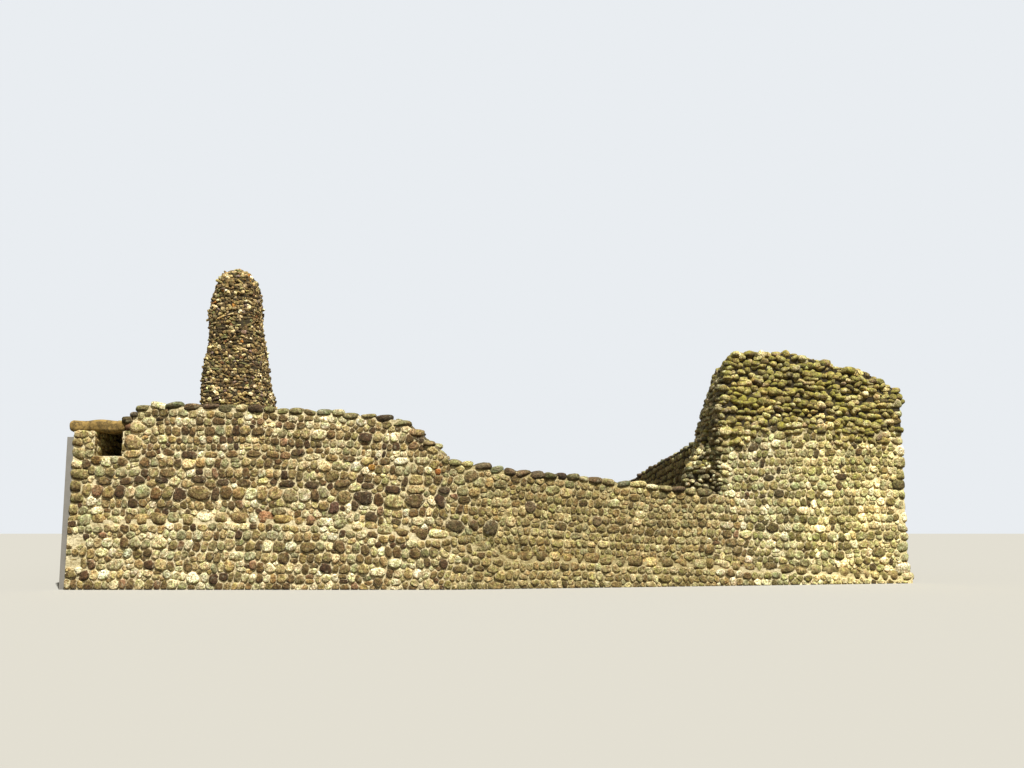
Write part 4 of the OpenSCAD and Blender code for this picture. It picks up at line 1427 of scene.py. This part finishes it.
def rough_courses(random, face, height):
    """Rubble that juts out in rough courses, from the crown down to a ragged line on the corner mass."""
    stones = []
    for z, tall in end_to_end(CROWN_Z - 0.36, face.high[1], lambda: height * random.uniform(0.8, 1.2), 0.93):
        rough = owned_row(face, z, BROKEN if z > CROWN_Z else ("stub_body", "corner_mass"))
        if not len(rough):
            continue
        for at, wide in end_to_end(rough[0] - 0.02, rough[-1], lambda: height * random.uniform(1.05, 2.0)):
            ragged = CROWN_Z - 0.10 + 0.11 * math.sin(2.9 * at) + 0.09 * math.sin(7.3 * at + 1)
            if z > ragged:
                level = z - 0.03 * (at - rough[0]) + random.normal(0, 0.024)
                stones.append((at + wide / 2, level, wide / 2 * 1.16, tall / 2 * random.uniform(1.05, 1.45),
                               random.uniform(0.035, 0.085)))
    points, across, up, out = face.seat(np.array([s[:2] for s in stones]))
    half = np.array([(wide, 0.11, tall) for _, _, wide, tall, _ in stones])
    centres = points - out * (0.11 - np.array([s[4] for s in stones]))[:, None]
    return centres, turned(random, len(half), across, up, 15), half


def torn_courses(random, height):
    """Rubble in rough courses up the torn end of the stub, each stone's face turned to the front."""
    wall = WALLS["front_east"]
    inside = float(wall.station(np.array([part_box("corner_mass")[0][:2]]))[0]) - 0.15
    low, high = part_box("stub_body")[0][2] + 0.03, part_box("stub_head")[1][2]
    centres, sizes = [], []
    for z, tall in end_to_end(low, high, lambda: height * random.uniform(0.75, 1.2)):
        depth = random.uniform(0.04, 0.10)
        while depth < wall.thick:
            wide = height * random.uniform(1.0, 1.9)
            found = SOLID.hit((*wall.place(inside, depth), z), -wall.ahead)
            if found and found[2] in ("stub_body", "stub_head") and not covered(found[0], found[1]):
                shift = wide / 2 - random.uniform(0.02, 0.085)
                centres.append(found[0] + wall.ahead * shift + (0, 0, random.normal(0, 0.01)))
                sizes.append((wide / 2, random.uniform(0.07, 0.1), tall / 2 * 1.1))
            depth += random.uniform(0.065, 0.115)
    return np.array(centres), turned(random, len(centres), wall.ahead, UP, 12), np.array(sizes)


THROWN_PER_AREA = 420  # loose stones thrown on a square metre, most of which are too near to another
THROWN_APART = 0.095  # the least distance between two that stay


def scattered_rubble(random):
    """Rubble thrown over the leaning sides and tops of what is broken."""
    t = SOLID
    share = t.area * (t.of((*BROKEN, "stub_body")) & (t.normal[:, 2] > 0.3))
    count = int(share.sum() * THROWN_PER_AREA)
    picks = random.choice(len(share), count, p=share / share.sum())
    spots = (t.corners[picks] * random.dirichlet((1, 1, 1), count)[..., None]).sum(1)
    kept = []
    for i in range(count):
        if not kept or (np.linalg.norm(spots[kept] - spots[i], axis=1) > THROWN_APART).all():
            kept.append(i)
    kept = [i for i in kept if not covered(spots[i], t.normal[picks[i]])]
    spots, out = spots[kept], t.normal[picks[kept]]
    turn = random.uniform(0, np.pi, len(kept))
    across = np.stack([np.cos(turn), np.sin(turn), 0 * turn], 1)
    half = random.uniform((0.055, 0.05, 0.034), (0.11, 0.085, 0.058), (len(kept), 3))
    return spots - out * 0.012, turned(random, len(kept), across, UP, 16), half


def covered(spot, out):
    """Whether a spot on one solid lies against another solid."""
    found = SOLID.hit(spot + out * 0.004, out)
    return found is not None and found[1] @ out > 0


class KEEP_OT_rubble(bpy.types.Operator):
    """Lay rough courses and loose rubble over the broken stub, the crown and the return"""

    bl_idname = "keep.rubble"
    bl_label = "Broken Rubble"

    def execute(self, context):
        random = np.random.default_rng(SEED + 4)
        upright = Keep.ready().upright
        face = next(f for f in upright if f.beyond is not None and f.high[1] > CROWN_Z and f.out[1] < 0)
        height = context.scene.keep_stones.rough_course
        for name, stones, kinds, finish in (
                ("broken_edge_stones", edge_column(random, face), PALE_STONES, "sunlit_fieldstone"),
                ("crown_rubble", rough_courses(random, face, height), MOSSY_STONES, "mossy_rubble"),
                ("torn_end_rubble", torn_courses(random, height * 0.84), TORN_STONES, "weathered_fieldstone"),
                ("broken_rubble", scattered_rubble(random), MOSSY_STONES, "mossy_rubble")):
            pile = Pile()
            pile.lay(random, stones, kinds, 0.2, 3, 2.9, 0.09)
            pile.make(name, finish_named(finish), "weathered_rubble")
        return {"FINISHED"}


PILLAR_REACH = 2.5  # how far from the pillar's axis to look for its skin
CAP_TRIES = 60  # stones tried on the pillar's head


def pillar_stones(random, usual):
    """Rubble round the pillar in courses, and flat pieces on its head: spots, ways out and half sizes."""
    (foot_low, foot_high), (head_low, head_high) = (
        np.array(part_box(name)) for name in ("pillar_foot", "pillar_head"))
    foot, head = (foot_low + foot_high)[:2] / 2, (head_low + head_high)[:2] / 2
    low, high = foot_low[2], head_high[2]
    angles = np.linspace(0, 2 * np.pi, 73)
    ways = np.stack([np.cos(angles), np.sin(angles), 0 * angles], 1)
    stones = []
    for at, tall in end_to_end(low, high - 0.05, lambda: usual * random.uniform(0.75, 1.35), 0.96):
        middle = at + tall / 2
        share = (middle - low) / (high - low)
        axis = np.array([*(foot * (1 - share) + head * share), middle])
        found = [SOLID.hit(axis + way * PILLAR_REACH, -way) for way in ways]
        ring = np.array([(*f[0], *f[1]) for f in found if f is not None and f[2] in PILLAR])
        if len(ring) < len(ways):
            continue
        run = np.concatenate([[0], np.cumsum(np.linalg.norm(np.diff(ring[:, :3], axis=0), axis=1))])
        along = random.uniform(0, 0.1)
        while along < run[-1]:
            slab = random.random() < 0.10
            long = tall * (random.uniform(2.4, 3.6) if slab else random.uniform(0.85, 1.6))
            here = np.array([np.interp(along + long / 2, run, column) for column in ring.T])
            grown = 0.8 if slab else random.uniform(1.0, 1.35)
            size = (long / 2 * 1.08, random.uniform(0.05, 0.075), tall / 2 * grown)
            stones.append((here[:3], here[3:] * (1, 1, 0.2), size))
            along += long * 0.98
    for _ in range(CAP_TRIES):
        spot = head + random.uniform(-0.45, 0.45, 2)
        found = SOLID.hit_from_above(spot)
        if found and found[2] == "pillar_head":
            size = random.uniform((0.05, 0.05, 0.03), (0.09, 0.08, 0.045))
            stones.append((found[0] + (0, 0, 0.01), np.array([*unit(spot - head), 0.0]), size))
    return (np.array(values) for values in zip(*stones))


class KEEP_OT_pillar(bpy.types.Operator):
    """Lay small flat rubble in courses round the slender pillar"""

    bl_idname = "keep.pillar"
    bl_label = "Pillar Rubble"

    def execute(self, context):
        random = np.random.default_rng(SEED + 5)
        spots, outs, half = pillar_stones(random, context.scene.keep_stones.small_course)
        outs = unit(outs)
        # the courses fall a little to the right as seen from the yard's front
        across = unit(np.cross(UP, outs) - (0, 0, 0.08))
        frames = turned(random, len(spots), across, UP, 19)
        proud = np.where(random.random(len(spots)) < 0.12, 0.055, random.uniform(0.02, 0.042, len(spots)))
        centres = spots - outs * (half[:, 1] - proud)[:, None] + random.normal(0, 0.008, spots.shape) * UP
        pile = Pile()
        pile.add(whole_stones(random, centres, frames, half * 1.04, 2, 3.0, 0.12),
                 pick_colours(random, SMALL_STONES, len(spots), 0.23))
        pile.make("pillar_rubble", finish_named("weathered_fieldstone"), "weathered_rubble", False)
        return {"FINISHED"}


def colour_by_place(random, face, points, names, given):
    """Stone colours: sunny west leg, dull low wall, pale corner mass, mossy breaks, and the striking ones."""
    dull, bare = ageing(points)
    if not (face.wall.startswith("front") and face.out[1] < 0):
        dull[:] = 1
    pale = np.isin(names, ("corner_mass", "stub_body")) | (points[:, 0] > MASS_X) & (dull < 0.5)
    bare = np.maximum(bare, np.isin(names, BROKEN))
    picked = pick_colours(random, SUNNY_STONES, len(points))
    for kinds, chance in ((DULL_STONES, dull), (PALE_STONES, pale), (MOSSY_STONES, bare)):
        chosen = random.random(len(points)) < chance
        picked[chosen] = pick_colours(random, kinds, int(chosen.sum()))
    # the right part of the corner mass is painted lighter and yellower: painted sunlight
    if face.out[1] < -0.9:
        picked = picked * (1 + 0.3 * smooth(points[:, 0], *SUNLIT_MASS_X)[:, None] * (1.1, 1.0, 0.7))
    return np.where(np.isnan(given), picked, given)


class KEEP_OT_fieldstones(bpy.types.Operator):
    """Lay fieldstones in courses on every upright face"""

    bl_idname = "keep.fieldstones"
    bl_label = "Fieldstone Courses"

    def execute(self, context):
        sizes = context.scene.keep_stones
        random = np.random.default_rng(SEED + 6)
        piles = {}
        for face in Keep.ready().upright:
            front = face.wall.startswith("front") and face.out[1] < -0.9
            stones = course_under_top(random, face, lay_wall(random, face, 0.62 if front else 0.3))
            if face.beyond is not None and front:
                stones = add_striking(face, stones)
            stones, radius = packed(random, face, stones, sizes.joint, front)
            if not len(radius):
                continue
            seats = face.seat(stones["spot"])
            names = SOLID.names[face.look_up(stones["spot"], face.owner, 0)]
            swollen = np.clip(radius.mean(1) / USUAL_RADIUS, 0.6, 1.35)
            relief = sizes.relief * random.uniform(0.65, 1.3, len(radius)) * swollen
            rings = FINE_RINGS if front else PLAIN_RINGS
            points, faces, rim = bedded_stones(random, seats, radius, relief, rings)
            colours = colour_by_place(random, face, seats[0], names, stones["colour"])
            side = "inner" if seats[0].mean(0)[:2] @ face.out[:2] < 0 else "outer"
            east = points[:, 0, 0] >= BEND_X
            parts = {face.wall: east | ~east}
            if face.beyond is not None:
                parts = {"front_west": ~east, "front_east": east}
            for part, here in parts.items():
                piles.setdefault(f"{part}_{side}", Pile()).add((points[here], faces, rim), colours[here])
        for piece, pile in sorted(piles.items()):
            if piece.startswith("front") and piece.endswith("outer"):
                finish = "sunlit_fieldstone"
            elif piece == "east_inner":
                finish = "shaded_fieldstone"
            else:
                finish = "weathered_fieldstone"
            pile.make("fieldstones_" + piece, finish_named(finish), "fieldstone_masonry")
        return {"FINISHED"}


def seats_on_top(face, spot):
    """Where cobbles sit on a wall top, and the ways across, up and out there, tilted as the top is."""
    tilt = []
    for step in np.eye(2) * 0.06:
        rise, fall = (face.look_up(spot + way * step, face.level, LOWEST) for way in (1, -1))
        slope = (rise - fall) / 0.12
        tilt.append(np.where(np.abs(slope) < 1.5, slope, 0.0)[:, None])
    out = unit(UP - tilt[0] * face.across - tilt[1] * face.up)
    across = unit(face.across - (out @ face.across)[:, None] * out)
    return face.seat(spot)[0], across, np.cross(out, across), out


class KEEP_OT_tops(bpy.types.Operator):
    """Pave every wall top with rows of cobbles"""

    bl_idname = "keep.tops"
    bl_label = "Wall Top Cobbles"

    def execute(self, context):
        sizes = context.scene.keep_stones
        random = np.random.default_rng(SEED + 7)
        pile = Pile()
        for face in Keep.ready().tops:
            stones, radius = packed(random, face, lay_top(random, face, sizes.top_row), sizes.joint, False)
            count = len(radius)
            relief = sizes.relief * random.uniform(0.8, 1.5, count)
            pile.add(bedded_stones(random, seats_on_top(face, stones["spot"]), radius, relief, PLAIN_RINGS),
                     pick_colours(random, TOP_STONES, count, 0.15))
        pile.make("wall_top_cobbles", finish_named("river_cobbles"), "coping_fieldstone")
        return {"FINISHED"}


# Stage

FLOOR_HALF = 60.0  # half the floor's width
SUN_STRENGTH, SUN_BREADTH_DEGREES = 5.75, 1.2
SUN_TILT_DEGREES, SUN_TURN_DEGREES = 38, 25
LENS_MM = 36.0  # the lens and the width of the film, which give a view 53 degrees wide
EYE = (0.071, -20.8, 1.06)  # 1.06 m over the lowest ground and 16 m from the front wall
LOOK_UP_DEGREES = 7.565


def seen_otherwise(tree, rays_named, usual, seen, output):
    """A shader for all light, and another one for some kinds of rays."""
    rays = add(tree, "ShaderNodeLightPath").outputs
    share = 0.0
    for name in rays_named:
        share = add(tree, "ShaderNodeMath", {0: share, 1: rays[name]}, operation="MAXIMUM")
    both = add(tree, "ShaderNodeMixShader", {0: share, 1: usual, 2: seen})
    add(tree, output, {"Surface": both})


class KEEP_OT_stage(bpy.types.Operator):
    """Set the pale floor, the soft light and the camera"""

    bl_idname = "keep.stage"
    bl_label = "Stage"

    def execute(self, context):
        scene = context.scene
        mesh = bpy.data.meshes.new("stage_floor")
        corners = [(x * FLOOR_HALF, y * FLOOR_HALF, 0) for x, y in ((-1, -1), (1, -1), (1, 1), (-1, 1))]
        mesh.from_pydata(corners, [], [(0, 1, 2, 3)])
        floor = linked("stage_floor", mesh)
        material = bpy.data.materials.new("matt_paper")
        mesh.materials.append(material)
        tree = cleared_tree(material)
        # pale to the eye, but dull to the light that it throws back up
        seen = add(tree, "ShaderNodeBsdfDiffuse", {"Color": linear("#b6b5b2")})
        thrown = add(tree, "ShaderNodeBsdfDiffuse", {"Color": linear("#77766a")})
        seen_otherwise(tree, ("Is Camera Ray",), thrown, seen, "ShaderNodeOutputMaterial")

        sun = bpy.data.lights.new("key_light", "SUN")
        sun.energy = SUN_STRENGTH
        sun.angle = math.radians(SUN_BREADTH_DEGREES)
        sun.color = linear("#fffcf2")[:3]
        key = linked("key_light", sun)
        key.rotation_euler = (math.radians(SUN_TILT_DEGREES), 0, math.radians(SUN_TURN_DEGREES))

        scene.world = bpy.data.worlds.new("studio")
        tree = cleared_tree(scene.world)
        soft = add(tree, "ShaderNodeBackground", {"Color": linear("#e8e4d6"), "Strength": 0.25})
        backdrop = add(tree, "ShaderNodeBackground", {"Color": linear("#e9edf1"), "Strength": 1.0})
        seen_otherwise(tree, ("Is Camera Ray", "Is Glossy Ray", "Is Transmission Ray"), soft, backdrop,
                       "ShaderNodeOutputWorld")

        lens = bpy.data.cameras.new("camera")
        lens.lens = lens.sensor_width = LENS_MM
        lens.clip_end = 300.0
        scene.camera = linked("camera", lens)
        scene.camera.location = EYE
        scene.camera.rotation_euler = (math.radians(90 + LOOK_UP_DEGREES), 0, 0)
        scene.view_settings.view_transform = "Standard"
        return {"FINISHED"}


class KEEP_PT_panel(bpy.types.Panel):
    """Sizes, colours and steps of the keep"""

    bl_idname = "KEEP_PT_panel"
    bl_label = "Fieldstone Keep"
    bl_space_type = "VIEW_3D"
    bl_region_type = "UI"
    bl_category = "Keep"

    def draw(self, context):
        for group in (context.scene.keep_stones, context.scene.keep_colours):
            box = self.layout.box()
            for name in group.__annotations__:
                box.prop(group, name)
        for step in STEPS:
            self.layout.operator(step.bl_idname)


# The bigger stones come before the small ones, which keep out of their footprints
STEPS = (
    KEEP_OT_stage, KEEP_OT_mortar, KEEP_OT_quoins, KEEP_OT_plinth, KEEP_OT_coping, KEEP_OT_lintel,
    KEEP_OT_rubble, KEEP_OT_pillar, KEEP_OT_fieldstones, KEEP_OT_tops,
)
CLASSES = (KeepStones, KeepColours, *STEPS, KEEP_PT_panel)


def register():
    """Add the classes and the scene's two groups of settings."""
    for item in CLASSES:
        bpy.utils.register_class(item)
    bpy.types.Scene.keep_stones = bpy.props.PointerProperty(type=KeepStones)
    bpy.types.Scene.keep_colours = bpy.props.PointerProperty(type=KeepColours)


def unregister():
    """Take them out again."""
    del bpy.types.Scene.keep_colours
    del bpy.types.Scene.keep_stones
    for item in reversed(CLASSES):
        bpy.utils.unregister_class(item)


def main():
    """Build the whole scene."""
    register()
    for step in STEPS:
        group, name = step.bl_idname.split(".")
        getattr(getattr(bpy.ops, group), name)()


if __name__ == "__main__":
    main()
